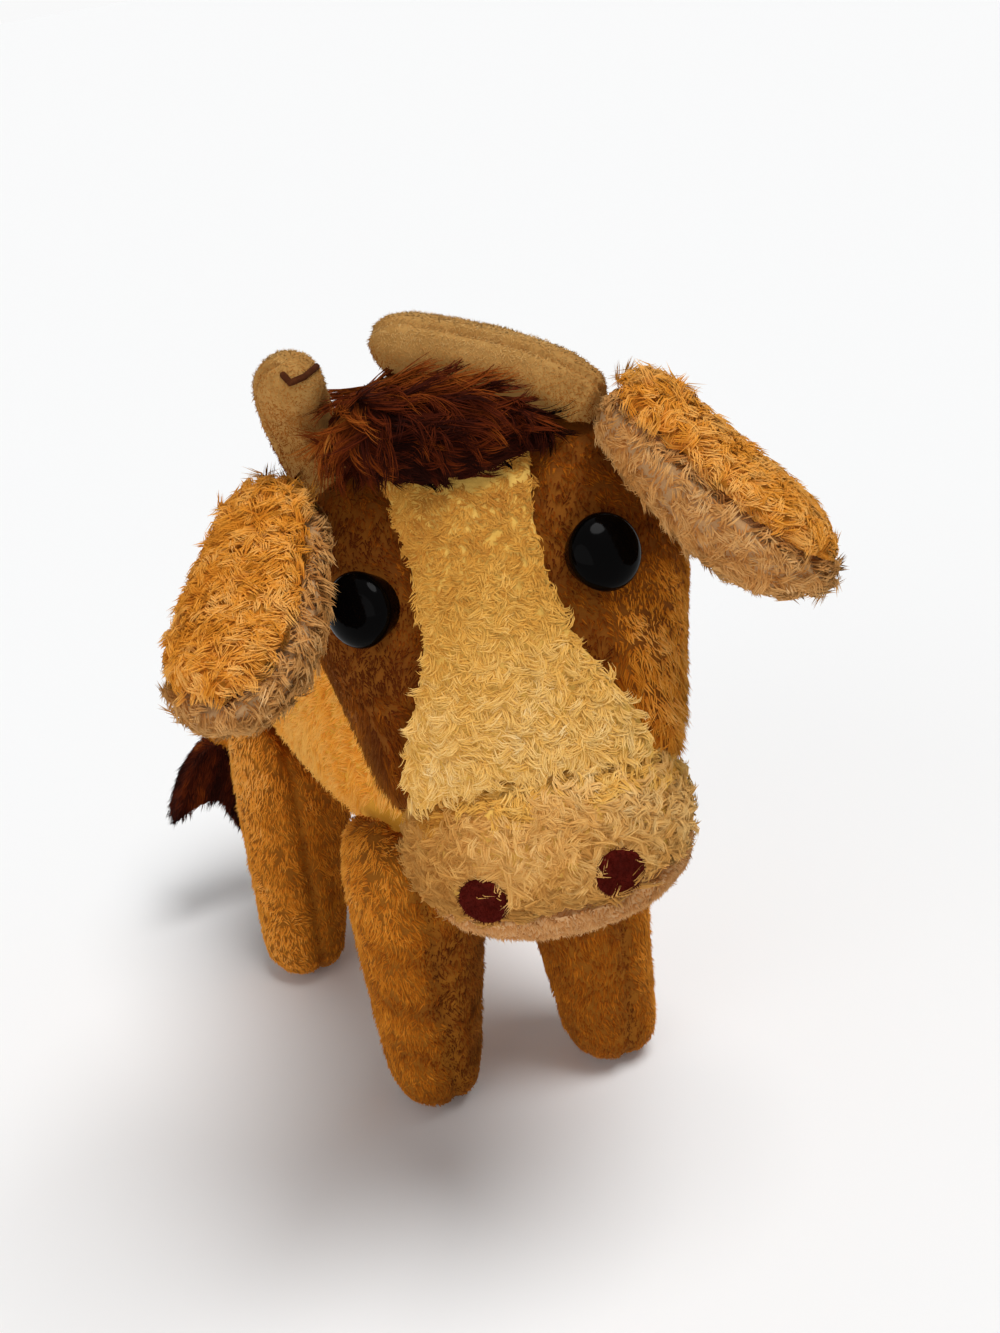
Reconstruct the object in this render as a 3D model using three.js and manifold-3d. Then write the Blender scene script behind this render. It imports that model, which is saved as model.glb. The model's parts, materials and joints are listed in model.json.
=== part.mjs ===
// A stuffed plush cow: torso, legs, head, horns, ears, face trim and tail.
// Millimetres. The cow stands on z = 0 and faces -y, so its left side is +x.
import * as THREE from 'three';
import { mergeVertices } from 'three/addons/utils/BufferGeometryUtils.js';
import Module from 'manifold-3d';

const wasm = await Module();
wasm.setup();

// Fits
const SEAM_GAP = 0.3;
const NECK_CLEARANCE = 0.6;
const CHEST_CLEARANCE = 4;
const SECTION_POWER = 2.3;

// Torso. A swell lists shares of the half width, of the height above and of the height
// below the axis, at equal steps along the form.
const TORSO_LENGTH = 122;
const TORSO_HALF_WIDTH = 26.5;
const TORSO_HALF_HEIGHT = 29;
const BELLY_HEIGHT = 50;
const CHEST_ROUND = 32;
const RUMP_ROUND = 27;
const TORSO_SWELL = [[0.94, 0.95, 0.92], [0.97, 0.97, 0.95], [1, 1, 1], [0.96, 1, 0.95], [0.9, 1, 0.9]];

// Legs. A stance says how far a foot stands outwards and forwards of its hip.
const SOLE_CUT = 1.2;
const HIP_HEIGHT = 74;
const LEG_HALF_WIDTH = 14.5;
const LEG_HALF_DEPTH = 16;
const FOOT_ROUND = 6;
const HIP_ROUND = 12;
const LEG_SWELL = [[1, 1, 1], [1, 1, 1], [0.9, 0.92, 0.92], [0.78, 0.81, 0.81], [0.68, 0.72, 0.7]];
const FRONT_HIP_X = 17;
const FRONT_LEG_FROM_CHEST = 20;
const REAR_HIP_X = 16;
const REAR_LEG_FROM_RUMP = 28;
const STANCE = {
  front_right: [5, -5],
  front_left: [-1, 7],
  rear_right: [13, 5],
  rear_left: [12, 5],
};

// Neck and head. Stations along the head are measured from the poll down to the lip.
const NECK_RADIUS = 26;
const NECK_HEIGHT = 106;
const NECK_FROM_CHEST = 0;
const HEAD_TURN = THREE.MathUtils.degToRad(-27);
const HEAD_TILT = THREE.MathUtils.degToRad(-5.2);
const HEAD_SLOPE = THREE.MathUtils.degToRad(64);
const POLL_FORWARD = -4;
const POLL_RISE = 51;
const POLL_LEFT = 3.9;
const HEAD_LENGTH = 90;
const HEAD_HALF_WIDTH = 34.5;
const HEAD_FRONT_DEPTH = 25;
const HEAD_BACK_DEPTH = 33;
const POLL_ROUND = 26;
const SNOUT_ROUND = 10;
const HEAD_SWELL = [
  [0.93, 0.86, 0.8], [0.98, 0.98, 0.95], [1, 1, 1], [0.88, 0.92, 0.88], [0.74, 0.84, 0.7], [0.68, 0.8, 0.6],
];

// Muzzle and chin
const MUZZLE_SEAM_FROM_SNOUT = 17;
const MUZZLE_OVERLAP = 7;
const MUZZLE_LENGTH = 32;
const MUZZLE_HALF_WIDTH = 25.5;
const MUZZLE_FRONT_DEPTH = 22.5;
const MUZZLE_BACK_DEPTH = 20;
const MUZZLE_TOP_ROUND = 9;
const MUZZLE_LIP_ROUND = 14;
const MUZZLE_SWELL = [[0.96, 0.96, 1], [1, 1, 1], [0.97, 0.97, 0.96]];
const CHIN_SEAM_FROM_LIP = 5.5;
const CHIN_SEAM_RISE = 14;
const CHIN_SEAM_SLOPE = THREE.MathUtils.degToRad(56);

// Blaze
const BLAZE_THICKNESS = 2.6;
const BLAZE_TOP_STATION = 17;
const BLAZE_ARCH = 5;
const BLAZE_TOP_HALF_WIDTH = 13.5;
const BLAZE_WAIST_HALF_WIDTH = 11.5;
const BLAZE_WAIST_STATION = 37;
const BLAZE_FOOT_HALF_WIDTH = 21;

// Eyes, with shank and lock washer
const EYE_STATION = 38;
const EYE_LATERAL = 19.8;
const EYE_SPLAY = THREE.MathUtils.degToRad(8);
const EYE_RADIUS = 6.3;
const EYE_DOME_HEIGHT = 5;
const EYE_FLANGE = 1;
const EYE_SET_DEPTH = 1.6;
const EYE_SHANK_RADIUS = 2;
const EYE_SHANK_LENGTH = 10;
const WASHER_RADIUS = 5.5;
const WASHER_THICKNESS = 1.6;
const WASHER_DEPTH = 3;

// Nostrils. Their station is measured from the top of the muzzle.
const NOSTRIL_STATION = 22;
const NOSTRIL_LATERAL = 11.2;
const NOSTRIL_RADIUS = 4.2;
const NOSTRIL_THICKNESS = 1.4;
const NOSTRIL_SET_DEPTH = 1.2;

// Horns. Each path lists steps from the horn's seat on the head to its tip.
const HORN_RADIUS = 7;
const HORN_TIP_RADIUS = 5.8;
const HORN_STATION = 13;
const HORN_LATERAL = 21;
const HORN_ROOT_DEPTH = 6;
const HORN_PATHS = {
  right: [[-2, -1, 8], [-1.5, -5, 14], [1, -13, 19]],
  left: [[-7.7, 1.7, 6.7], [-18, 4.4, 12], [-31, 6.5, 17]],
};

// Ears. Each hangs along one direction, with its outer leaf facing another, and keeps clear of
// the head at the lifts listed.
const EAR_LENGTH = 40;
const EAR_HALF_WIDTH = 12;
const EAR_OUTER_DEPTH = 7;
const EAR_LINING_DEPTH = 9;
const EAR_SEAM_RISE = 2;
const EAR_STAND_OFF = 6;
const EAR_ANGLE = THREE.MathUtils.degToRad(42);
const EAR_SWELL = [[0.6, 1, 0.6], [0.85, 1, 0.8], [1, 1, 1], [1, 1, 1], [0.9, 0.9, 0.9]];
const EAR_ROOT_ROUND = 5;
const EAR_TIP_ROUND = 14;
const EAR_LIFTS = [-5, 0, 20, 40, 60].map(THREE.MathUtils.degToRad);
const EAR_HANG = {
  right: { station: 23, along: [-0.255, -0.871, -0.420], face: [-0.093, -0.369, 0.925] },
  left: { station: 20.5, along: [0.6, -0.353, -0.718], face: [0.773, -0.085, 0.629] },
};

// Forelock
const FORELOCK_STATION = 12;
const FORELOCK_HALF_WIDTH = 21;
const FORELOCK_HALF_LENGTH = 13;
const FORELOCK_HEIGHT = 7.5;
const FORELOCK_TILT = THREE.MathUtils.degToRad(14);

// Tail and tuft. The tail leans to the cow's right.
const TAIL_RADIUS = 6;
const TAIL_ROOT_RISE = 15;
const TAIL_ROOT_DEPTH = 10;
const TAIL_STAND_OFF = 9;
const TAIL_DROP = 55;
const TAIL_LEAN = THREE.MathUtils.degToRad(28);
const TUFT_LENGTH = 23;
const TUFT_HALF_WIDTH = 9.5;
const TUFT_THICKNESS = 8;
const TUFT_NOTCH = 8;

const X = new THREE.Vector3(1, 0, 0);
const Y = new THREE.Vector3(0, 1, 0);
const Z = new THREE.Vector3(0, 0, 1);

const SIDES = [['right', -1], ['left', 1]];

function vector(list) {
  return new THREE.Vector3(...list);
}

// A closed geometry as a solid: corners merged, empty triangles left out.
function toSolid(geometry) {
  const bare = new THREE.BufferGeometry();
  bare.setAttribute('position', geometry.getAttribute('position').clone());
  if (geometry.index) bare.setIndex(geometry.index.clone());
  const merged = mergeVertices(bare, 1e-4);
  const corners = merged.index.array;
  const triangles = [];
  for (let i = 0; i < corners.length; i += 3) {
    const [a, b, c] = [corners[i], corners[i + 1], corners[i + 2]];
    if (a !== b && b !== c && c !== a) triangles.push(a, b, c);
  }
  const mesh = new wasm.Mesh({
    numProp: 3,
    vertProperties: new Float32Array(merged.getAttribute('position').array),
    triVerts: new Uint32Array(triangles),
  });
  return new wasm.Manifold(mesh);
}

function toGeometry(solid) {
  const { vertProperties, triVerts } = solid.getMesh();
  const geometry = new THREE.BufferGeometry();
  geometry.setAttribute('position', new THREE.BufferAttribute(vertProperties, 3));
  geometry.setIndex(new THREE.BufferAttribute(triVerts, 1));
  geometry.computeVertexNormals();
  return geometry;
}

// A surface through rings of points, closed by a pole at each end.
function skin(rings, firstPole, lastPole, flip) {
  const points = [firstPole, ...rings.flat(), lastPole];
  const sides = rings[0].length;
  const last = points.length - 1;
  const triangles = [];
  const add = (a, b, c) => (flip ? triangles.push(a, c, b) : triangles.push(a, b, c));
  for (let j = 0; j < sides; j += 1) {
    const next = (j + 1) % sides;
    add(0, 1 + j, 1 + next);
    for (let i = 0; i + 1 < rings.length; i += 1) {
      const here = 1 + i * sides;
      const there = here + sides;
      add(here + j, there + j, here + next);
      add(here + next, there + j, there + next);
    }
    add(last, last - sides + next, last - sides + j);
  }
  const geometry = new THREE.BufferGeometry().setFromPoints(points);
  geometry.setIndex(triangles);
  return geometry;
}

function bulge(value) {
  return Math.sign(value) * Math.abs(value) ** (2 / SECTION_POWER);
}

function roundOff(distance, length) {
  const share = Math.min(1, Math.max(0, distance / length));
  return Math.sqrt(1 - (1 - share) ** 2);
}

// A stuffed form along an axis: its half width, upper and lower depth swell and taper,
// and both ends are rounded.
class SoftForm {
  constructor({ origin, along, upper, side = X, length, size, swell, rounds, rings = 14, sides = 18 }) {
    Object.assign(this, { origin, along, upper, side, length, size, rounds, rings, sides });
    this.swell = new THREE.CatmullRomCurve3(swell.map(vector), false, 'catmullrom', 0.5);
    this.flip = side.clone().cross(upper).dot(along) > 0;
  }

  halfSizes(station, grow = 0) {
    const share = THREE.MathUtils.clamp(station / this.length, 0, 1);
    const swell = this.swell.getPoint(share);
    const ends = roundOff(station, this.rounds[0]) * roundOff(this.length - station, this.rounds[1]);
    return this.size.map((size, i) => size * swell.getComponent(i) * ends + grow);
  }

  point(station, angle, grow = 0) {
    const [wide, up, down] = this.halfSizes(station, grow);
    const height = bulge(Math.sin(angle)) * (Math.sin(angle) > 0 ? up : down);
    return this.origin.clone()
      .addScaledVector(this.along, station)
      .addScaledVector(this.side, wide * bulge(Math.cos(angle)))
      .addScaledVector(this.upper, height);
  }

  // The surface point on the upper side at a distance to the side of the middle.
  angleAt(station, lateral) {
    const wide = this.halfSizes(station)[0];
    const share = Math.min(1, Math.abs(lateral) / wide);
    return Math.acos(Math.sign(lateral) * share ** (SECTION_POWER / 2));
  }

  normal(station, angle) {
    const stride = 1;
    const step = 0.02;
    const lengthwise = this.point(station + stride, angle).sub(this.point(station - stride, angle));
    const around = this.point(station, angle + step).sub(this.point(station, angle - step));
    const normal = lengthwise.cross(around).normalize();
    return this.flip ? normal.negate() : normal;
  }

  geometry(grow = 0) {
    const rings = [];
    for (let i = 1; i < this.rings; i += 1) {
      const station = (this.length * (1 - Math.cos((Math.PI * i) / this.rings))) / 2;
      const ring = [];
      for (let j = 0; j < this.sides; j += 1) {
        ring.push(this.point(station, (2 * Math.PI * j) / this.sides, grow));
      }
      rings.push(ring);
    }
    const firstPole = this.origin.clone().addScaledVector(this.along, -grow);
    const lastPole = this.origin.clone().addScaledVector(this.along, this.length + grow);
    return skin(rings, firstPole, lastPole, this.flip);
  }

  solid(grow = 0) {
    return toSolid(this.geometry(grow));
  }
}

// A round tapering form along a curve, with a dome at each end.
function taperedTube(curve, radiusAt, domes, grow = 0, steps = 12, sides = 10) {
  const length = curve.getLength();
  const frames = curve.computeFrenetFrames(steps);
  const rings = [];
  for (let i = 1; i < steps; i += 1) {
    const share = (1 - Math.cos((Math.PI * i) / steps)) / 2;
    const ends = roundOff(share * length, domes[0]) * roundOff((1 - share) * length, domes[1]);
    const radius = radiusAt(share) * ends + grow;
    const centre = curve.getPointAt(share);
    const frame = Math.round(share * steps);
    const ring = [];
    for (let j = 0; j < sides; j += 1) {
      const angle = (2 * Math.PI * j) / sides;
      ring.push(centre.clone()
        .addScaledVector(frames.normals[frame], radius * Math.cos(angle))
        .addScaledVector(frames.binormals[frame], radius * Math.sin(angle)));
    }
    rings.push(ring);
  }
  const first = curve.getPointAt(0).addScaledVector(curve.getTangentAt(0), -grow);
  const last = curve.getPointAt(1).addScaledVector(curve.getTangentAt(1), grow);
  return skin(rings, first, last, true);
}

// The half of space on one side of a plane, as a block that reaches past the toy.
function halfSpace(point, direction) {
  const reach = 4 * TORSO_LENGTH;
  const block = new THREE.BoxGeometry(reach, reach, reach);
  block.translate(0, 0, reach / 2);
  const turn = new THREE.Quaternion().setFromUnitVectors(Z, direction.clone().normalize());
  block.applyQuaternion(turn);
  block.translate(point.x, point.y, point.z);
  return toSolid(block);
}

// A geometry turned about an axis through a point, as a solid.
function turnedAbout(geometry, point, axis, angle) {
  const turned = geometry.clone().translate(-point.x, -point.y, -point.z);
  turned.applyQuaternion(new THREE.Quaternion().setFromAxisAngle(axis, angle));
  return toSolid(turned.translate(point.x, point.y, point.z));
}

// A turned profile [radius, height] whose axis goes out from a seat.
function turnedAt(profile, seat, axis, segments = 18) {
  const lathe = new THREE.LatheGeometry(profile.map(([r, h]) => new THREE.Vector2(r, h)), segments);
  lathe.applyQuaternion(new THREE.Quaternion().setFromUnitVectors(Y, axis));
  lathe.translate(seat.x, seat.y, seat.z);
  return lathe;
}

function plug(radius, low, high) {
  return [[0, low], [radius, low], [radius, high], [0, high]];
}

const plushMaterials = {
  caramel: new THREE.MeshStandardMaterial({ color: 0xb87a2a, roughness: 0.95, metalness: 0 }),
  cream: new THREE.MeshStandardMaterial({ color: 0xd9b66e, roughness: 0.95, metalness: 0 }),
  tan: new THREE.MeshStandardMaterial({ color: 0xc09a62, roughness: 0.9, metalness: 0 }),
  beige: new THREE.MeshStandardMaterial({ color: 0xc4a274, roughness: 0.95, metalness: 0 }),
  hornFelt: new THREE.MeshStandardMaterial({ color: 0xb8944f, roughness: 0.9, metalness: 0 }),
  darkPile: new THREE.MeshStandardMaterial({ color: 0x4a2008, roughness: 0.9, metalness: 0 }),
  nostrilFelt: new THREE.MeshStandardMaterial({ color: 0x4a1008, roughness: 0.9, metalness: 0 }),
  eyePlastic: new THREE.MeshStandardMaterial({ color: 0x080606, roughness: 0.08, metalness: 0 }),
  washerPlastic: new THREE.MeshStandardMaterial({ color: 0xe8e6e0, roughness: 0.5, metalness: 0 }),
};

const cow = new THREE.Group();
const figure = new THREE.Group();
const headGroup = new THREE.Group();
cow.add(figure);
figure.add(headGroup);

function addMesh(group, name, geometry, material) {
  const mesh = new THREE.Mesh(geometry, material);
  mesh.name = name;
  group.add(mesh);
  return mesh;
}

// Torso, with the round seat of the neck cut into its front.
const chestY = -TORSO_LENGTH / 2;
const torsoHeight = BELLY_HEIGHT + TORSO_HALF_HEIGHT;
const neck = new THREE.Vector3(0, chestY + NECK_FROM_CHEST, NECK_HEIGHT);
const torsoForm = new SoftForm({
  origin: new THREE.Vector3(0, chestY, torsoHeight),
  along: Y,
  upper: Z,
  length: TORSO_LENGTH,
  size: [TORSO_HALF_WIDTH, TORSO_HALF_HEIGHT, TORSO_HALF_HEIGHT],
  swell: TORSO_SWELL,
  rounds: [CHEST_ROUND, RUMP_ROUND],
});

function neckBall(grow) {
  const ball = new THREE.SphereGeometry(NECK_RADIUS + grow, 24, 14);
  ball.rotateX(Math.PI / 2);
  return ball;
}

const neckSeat = toSolid(neckBall(NECK_CLEARANCE).translate(neck.x, neck.y, neck.z));

// The tail's root lies in a round seat in the rump.
const rumpY = chestY + TORSO_LENGTH;
const tailRoot = new THREE.Vector3(0, rumpY - TAIL_ROOT_DEPTH, torsoHeight + TAIL_ROOT_RISE);
const tailSeat = toSolid(turnedAt(plug(TAIL_RADIUS + SEAM_GAP, -SEAM_GAP, RUMP_ROUND), tailRoot, Y));

const torsoSolid = torsoForm.solid().subtract(neckSeat).subtract(tailSeat);
addMesh(figure, 'torso', toGeometry(torsoSolid), plushMaterials.caramel);

// Legs
const torsoCut = torsoForm.solid(SEAM_GAP);
const ground = halfSpace(new THREE.Vector3(), Z);
function leg(hipX, hipY, [outwards, forwards]) {
  const hip = new THREE.Vector3(hipX, hipY, HIP_HEIGHT);
  const foot = new THREE.Vector3(hipX + Math.sign(hipX) * outwards, hipY - forwards, -SOLE_CUT);
  const along = foot.clone().sub(hip);
  const length = along.length();
  along.normalize();
  const side = new THREE.Vector3().crossVectors(along, Y).normalize();
  const form = new SoftForm({
    origin: hip,
    along,
    side,
    upper: new THREE.Vector3().crossVectors(side, along),
    length,
    size: [LEG_HALF_WIDTH, LEG_HALF_DEPTH, LEG_HALF_DEPTH],
    swell: LEG_SWELL,
    rounds: [HIP_ROUND, FOOT_ROUND],
    rings: 11,
    sides: 14,
  });
  return toGeometry(form.solid().subtract(torsoCut).intersect(ground));
}
const hips = {
  front: [FRONT_HIP_X, chestY + FRONT_LEG_FROM_CHEST],
  rear: [REAR_HIP_X, rumpY - REAR_LEG_FROM_RUMP],
};
for (const [side, sign] of SIDES) {
  for (const [end, [hipX, hipY]] of Object.entries(hips)) {
    const name = `${end}_${side}`;
    addMesh(figure, `leg_${name}`, leg(sign * hipX, hipY, STANCE[name]), plushMaterials.caramel);
  }
}

// Head: its pieces are placed from the middle of the neck, turned and tilted to its right.
headGroup.position.copy(neck);
headGroup.rotation.set(0, HEAD_TILT, HEAD_TURN, 'ZYX');
const headAlong = new THREE.Vector3(0, -Math.cos(HEAD_SLOPE), -Math.sin(HEAD_SLOPE));
const headFront = new THREE.Vector3(0, -Math.sin(HEAD_SLOPE), Math.cos(HEAD_SLOPE));
const poll = new THREE.Vector3(POLL_LEFT, -POLL_FORWARD, POLL_RISE);
const headForm = new SoftForm({
  origin: poll,
  along: headAlong,
  upper: headFront,
  length: HEAD_LENGTH,
  size: [HEAD_HALF_WIDTH, HEAD_FRONT_DEPTH, HEAD_BACK_DEPTH],
  swell: HEAD_SWELL,
  rounds: [POLL_ROUND, SNOUT_ROUND],
  rings: 17,
  sides: 20,
});
const muzzleSeam = HEAD_LENGTH - MUZZLE_SEAM_FROM_SNOUT;
const muzzleStart = muzzleSeam - MUZZLE_OVERLAP;
const muzzleForm = new SoftForm({
  origin: poll.clone().addScaledVector(headAlong, muzzleStart),
  along: headAlong,
  upper: headFront,
  length: MUZZLE_LENGTH,
  size: [MUZZLE_HALF_WIDTH, MUZZLE_FRONT_DEPTH, MUZZLE_BACK_DEPTH],
  swell: MUZZLE_SWELL,
  rounds: [MUZZLE_TOP_ROUND, MUZZLE_LIP_ROUND],
  rings: 11,
  sides: 18,
});

// The head keeps clear of the chest as it turns from one side to the other.
let headSolid = headForm.solid();
for (const turn of [HEAD_TURN, 0, -HEAD_TURN]) {
  const chest = torsoForm.geometry(CHEST_CLEARANCE);
  chest.translate(-neck.x, -neck.y, -neck.z);
  chest.rotateZ(-turn);
  chest.rotateY(-HEAD_TILT);
  headSolid = headSolid.subtract(toSolid(chest));
}
headSolid = headSolid.add(toSolid(neckBall(0)));

// Muzzle cap over the snout, and the chin panel below its seam.
headSolid = headSolid.subtract(muzzleForm.solid(SEAM_GAP));
const chinSeam = poll.clone()
  .addScaledVector(headAlong, muzzleStart + MUZZLE_LENGTH - CHIN_SEAM_FROM_LIP)
  .addScaledVector(headFront, CHIN_SEAM_RISE);
const chinDown = headAlong.clone().multiplyScalar(Math.sin(CHIN_SEAM_SLOPE))
  .addScaledVector(headFront, -Math.cos(CHIN_SEAM_SLOPE));
const seamHalf = chinDown.clone().multiplyScalar(SEAM_GAP / 2);
const chinSolid = muzzleForm.solid().intersect(halfSpace(chinSeam.clone().add(seamHalf), chinDown));
let muzzleSolid = muzzleForm.solid()
  .intersect(halfSpace(chinSeam.clone().sub(seamHalf), chinDown.clone().negate()));

// Blaze: a panel let into the front of the head, from the forelock to the muzzle.
function blazeBlock(grow) {
  const outline = new THREE.Shape();
  const top = BLAZE_TOP_STATION - grow;
  const foot = muzzleSeam + grow;
  const topWide = BLAZE_TOP_HALF_WIDTH + grow;
  const waistWide = BLAZE_WAIST_HALF_WIDTH + grow;
  const footWide = BLAZE_FOOT_HALF_WIDTH + grow;
  const waist = BLAZE_WAIST_STATION;
  const flare = (waist + foot) / 2;
  outline.moveTo(-topWide, -top);
  outline.quadraticCurveTo(0, -top + BLAZE_ARCH, topWide, -top);
  outline.quadraticCurveTo(waistWide, -(top + waist) / 2, waistWide, -waist);
  outline.bezierCurveTo(waistWide, -flare, footWide, -flare, footWide, -foot);
  outline.lineTo(-footWide, -foot);
  outline.bezierCurveTo(-footWide, -flare, -waistWide, -flare, -waistWide, -waist);
  outline.quadraticCurveTo(-waistWide, -(top + waist) / 2, -topWide, -top);
  const block = new THREE.ExtrudeGeometry(outline, {
    depth: 2 * HEAD_FRONT_DEPTH, bevelEnabled: false, curveSegments: 8, steps: 1,
  });
  const place = new THREE.Matrix4().makeBasis(X, headAlong.clone().negate(), headFront);
  place.setPosition(poll);
  block.applyMatrix4(place);
  return toSolid(block);
}
const blazeSolid = blazeBlock(0)
  .intersect(headForm.solid())
  .subtract(headForm.solid(-BLAZE_THICKNESS))
  .subtract(muzzleForm.solid(SEAM_GAP));
headSolid = headSolid.subtract(blazeBlock(SEAM_GAP).subtract(headForm.solid(-BLAZE_THICKNESS - SEAM_GAP)));

// Eyes: a dome on a shank through the head, held by a washer inside.
function eyeProfile() {
  const dome = new THREE.EllipseCurve(0, 0, EYE_RADIUS, EYE_DOME_HEIGHT, Math.PI / 2, 0, true).getPoints(6);
  const shankEnd = -EYE_FLANGE - EYE_SHANK_LENGTH;
  const back = [
    [EYE_RADIUS, -EYE_FLANGE], [EYE_SHANK_RADIUS, -EYE_FLANGE], [EYE_SHANK_RADIUS, shankEnd], [0, shankEnd],
  ];
  return [...dome.map(({ x, y }) => [x, y]), ...back].reverse();
}
const washerTop = -EYE_FLANGE - WASHER_DEPTH;
const washerLow = washerTop - WASHER_THICKNESS;
const washerBore = EYE_SHANK_RADIUS + SEAM_GAP;
const washerProfile = [
  [washerBore, washerLow], [WASHER_RADIUS, washerLow], [WASHER_RADIUS, washerTop], [washerBore, washerTop],
  [washerBore, washerLow],
];
const eyeCuts = [
  plug(EYE_RADIUS + SEAM_GAP, -EYE_FLANGE - SEAM_GAP, EYE_DOME_HEIGHT + EYE_SET_DEPTH),
  plug(WASHER_RADIUS + SEAM_GAP, washerLow - SEAM_GAP, washerTop + SEAM_GAP),
  plug(washerBore, -EYE_FLANGE - EYE_SHANK_LENGTH - SEAM_GAP, 0),
];
for (const [side, sign] of SIDES) {
  const angle = headForm.angleAt(EYE_STATION, sign * EYE_LATERAL);
  const axis = headForm.normal(EYE_STATION, angle).applyAxisAngle(headAlong, -sign * EYE_SPLAY);
  const seat = headForm.point(EYE_STATION, angle).addScaledVector(axis, EYE_FLANGE - EYE_SET_DEPTH);
  for (const cut of eyeCuts) headSolid = headSolid.subtract(toSolid(turnedAt(cut, seat, axis)));
  const eye = toGeometry(toSolid(turnedAt(eyeProfile(), seat, axis)));
  addMesh(headGroup, `eye_${side}`, eye, plushMaterials.eyePlastic);
  const washer = toGeometry(toSolid(turnedAt(washerProfile, seat, axis)));
  addMesh(headGroup, `eye_washer_${side}`, washer, plushMaterials.washerPlastic);
}

// Nostrils: felt discs let into the muzzle.
for (const [side, sign] of SIDES) {
  const angle = muzzleForm.angleAt(NOSTRIL_STATION, sign * NOSTRIL_LATERAL);
  const axis = muzzleForm.normal(NOSTRIL_STATION, angle);
  const seat = muzzleForm.point(NOSTRIL_STATION, angle).addScaledVector(axis, -NOSTRIL_SET_DEPTH);
  const disc = turnedAt(plug(NOSTRIL_RADIUS, 0, NOSTRIL_THICKNESS), seat, axis);
  const recess = turnedAt(plug(NOSTRIL_RADIUS + SEAM_GAP, -SEAM_GAP, 3 * NOSTRIL_THICKNESS), seat, axis);
  muzzleSolid = muzzleSolid.subtract(toSolid(recess));
  addMesh(headGroup, `nostril_${side}`, toGeometry(toSolid(disc)), plushMaterials.nostrilFelt);
}

// Horns
const headCut = headForm.solid(SEAM_GAP);
const hornCuts = {};
for (const [side, sign] of SIDES) {
  const angle = headForm.angleAt(HORN_STATION, sign * HORN_LATERAL);
  const seat = headForm.point(HORN_STATION, angle);
  const inward = headForm.normal(HORN_STATION, angle).negate();
  const path = HORN_PATHS[side].map((offset) => seat.clone().add(vector(offset)));
  const root = seat.clone().addScaledVector(inward, HORN_ROOT_DEPTH);
  const curve = new THREE.CatmullRomCurve3([root, seat, ...path]);
  const radiusAt = (share) => THREE.MathUtils.lerp(HORN_RADIUS, HORN_TIP_RADIUS, share);
  const domes = [HORN_RADIUS / 2, HORN_TIP_RADIUS];
  const horn = toSolid(taperedTube(curve, radiusAt, domes)).subtract(headCut);
  hornCuts[side] = taperedTube(curve, radiusAt, domes, SEAM_GAP);
  addMesh(headGroup, `horn_${side}`, toGeometry(horn), plushMaterials.hornFelt);
}

// Ears: two leaves, the outer one over the lining, hung from a root on the side of the head.
for (const [side, sign] of SIDES) {
  const angle = sign > 0 ? EAR_ANGLE : Math.PI - EAR_ANGLE;
  const { station } = EAR_HANG[side];
  const normal = headForm.normal(station, angle);
  const root = headForm.point(station, angle).addScaledVector(normal, EAR_STAND_OFF + SEAM_GAP);
  const along = vector(EAR_HANG[side].along).normalize();
  const face = vector(EAR_HANG[side].face);
  face.addScaledVector(along, -face.dot(along)).normalize();
  const across = new THREE.Vector3().crossVectors(face, along);
  const form = new SoftForm({
    origin: root.clone().addScaledVector(along, -EAR_STAND_OFF),
    along,
    upper: face,
    side: across,
    length: EAR_LENGTH + EAR_STAND_OFF,
    size: [EAR_HALF_WIDTH, EAR_OUTER_DEPTH, EAR_LINING_DEPTH],
    swell: EAR_SWELL,
    rounds: [EAR_ROOT_ROUND, EAR_TIP_ROUND],
    rings: 12,
    sides: 14,
  });
  let leaf = form.solid();
  for (const lift of EAR_LIFTS) {
    leaf = leaf.subtract(turnedAbout(headForm.geometry(SEAM_GAP), root, across, lift));
    leaf = leaf.subtract(turnedAbout(hornCuts[side], root, across, lift));
  }
  const half = face.clone().multiplyScalar(SEAM_GAP / 2);
  const seam = root.clone().addScaledVector(face, EAR_SEAM_RISE);
  const outer = leaf.intersect(halfSpace(seam.clone().add(half), face));
  const lining = leaf.intersect(halfSpace(seam.clone().sub(half), face.clone().negate()));
  addMesh(headGroup, `ear_${side}`, toGeometry(outer), plushMaterials.caramel);
  addMesh(headGroup, `ear_lining_${side}`, toGeometry(lining), plushMaterials.beige);
}

// Forelock: a tuft between the horns.
const crown = headForm.point(FORELOCK_STATION, Math.PI / 2);
const crownUp = headForm.normal(FORELOCK_STATION, Math.PI / 2);
const tuft = new THREE.SphereGeometry(1, 14, 8);
tuft.scale(FORELOCK_HALF_WIDTH, FORELOCK_HALF_LENGTH, FORELOCK_HEIGHT);
tuft.rotateY(FORELOCK_TILT);
tuft.applyMatrix4(new THREE.Matrix4().makeBasis(X, crownUp.clone().cross(X), crownUp).setPosition(crown));
let forelock = toSolid(tuft).subtract(headCut);
for (const cut of Object.values(hornCuts)) forelock = forelock.subtract(toSolid(cut));
addMesh(headGroup, 'forelock', toGeometry(forelock), plushMaterials.darkPile);

addMesh(headGroup, 'head', toGeometry(headSolid), plushMaterials.caramel);
addMesh(headGroup, 'blaze', toGeometry(blazeSolid), plushMaterials.cream);
addMesh(headGroup, 'muzzle', toGeometry(muzzleSolid), plushMaterials.cream);
addMesh(headGroup, 'chin', toGeometry(chinSolid), plushMaterials.tan);

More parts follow.
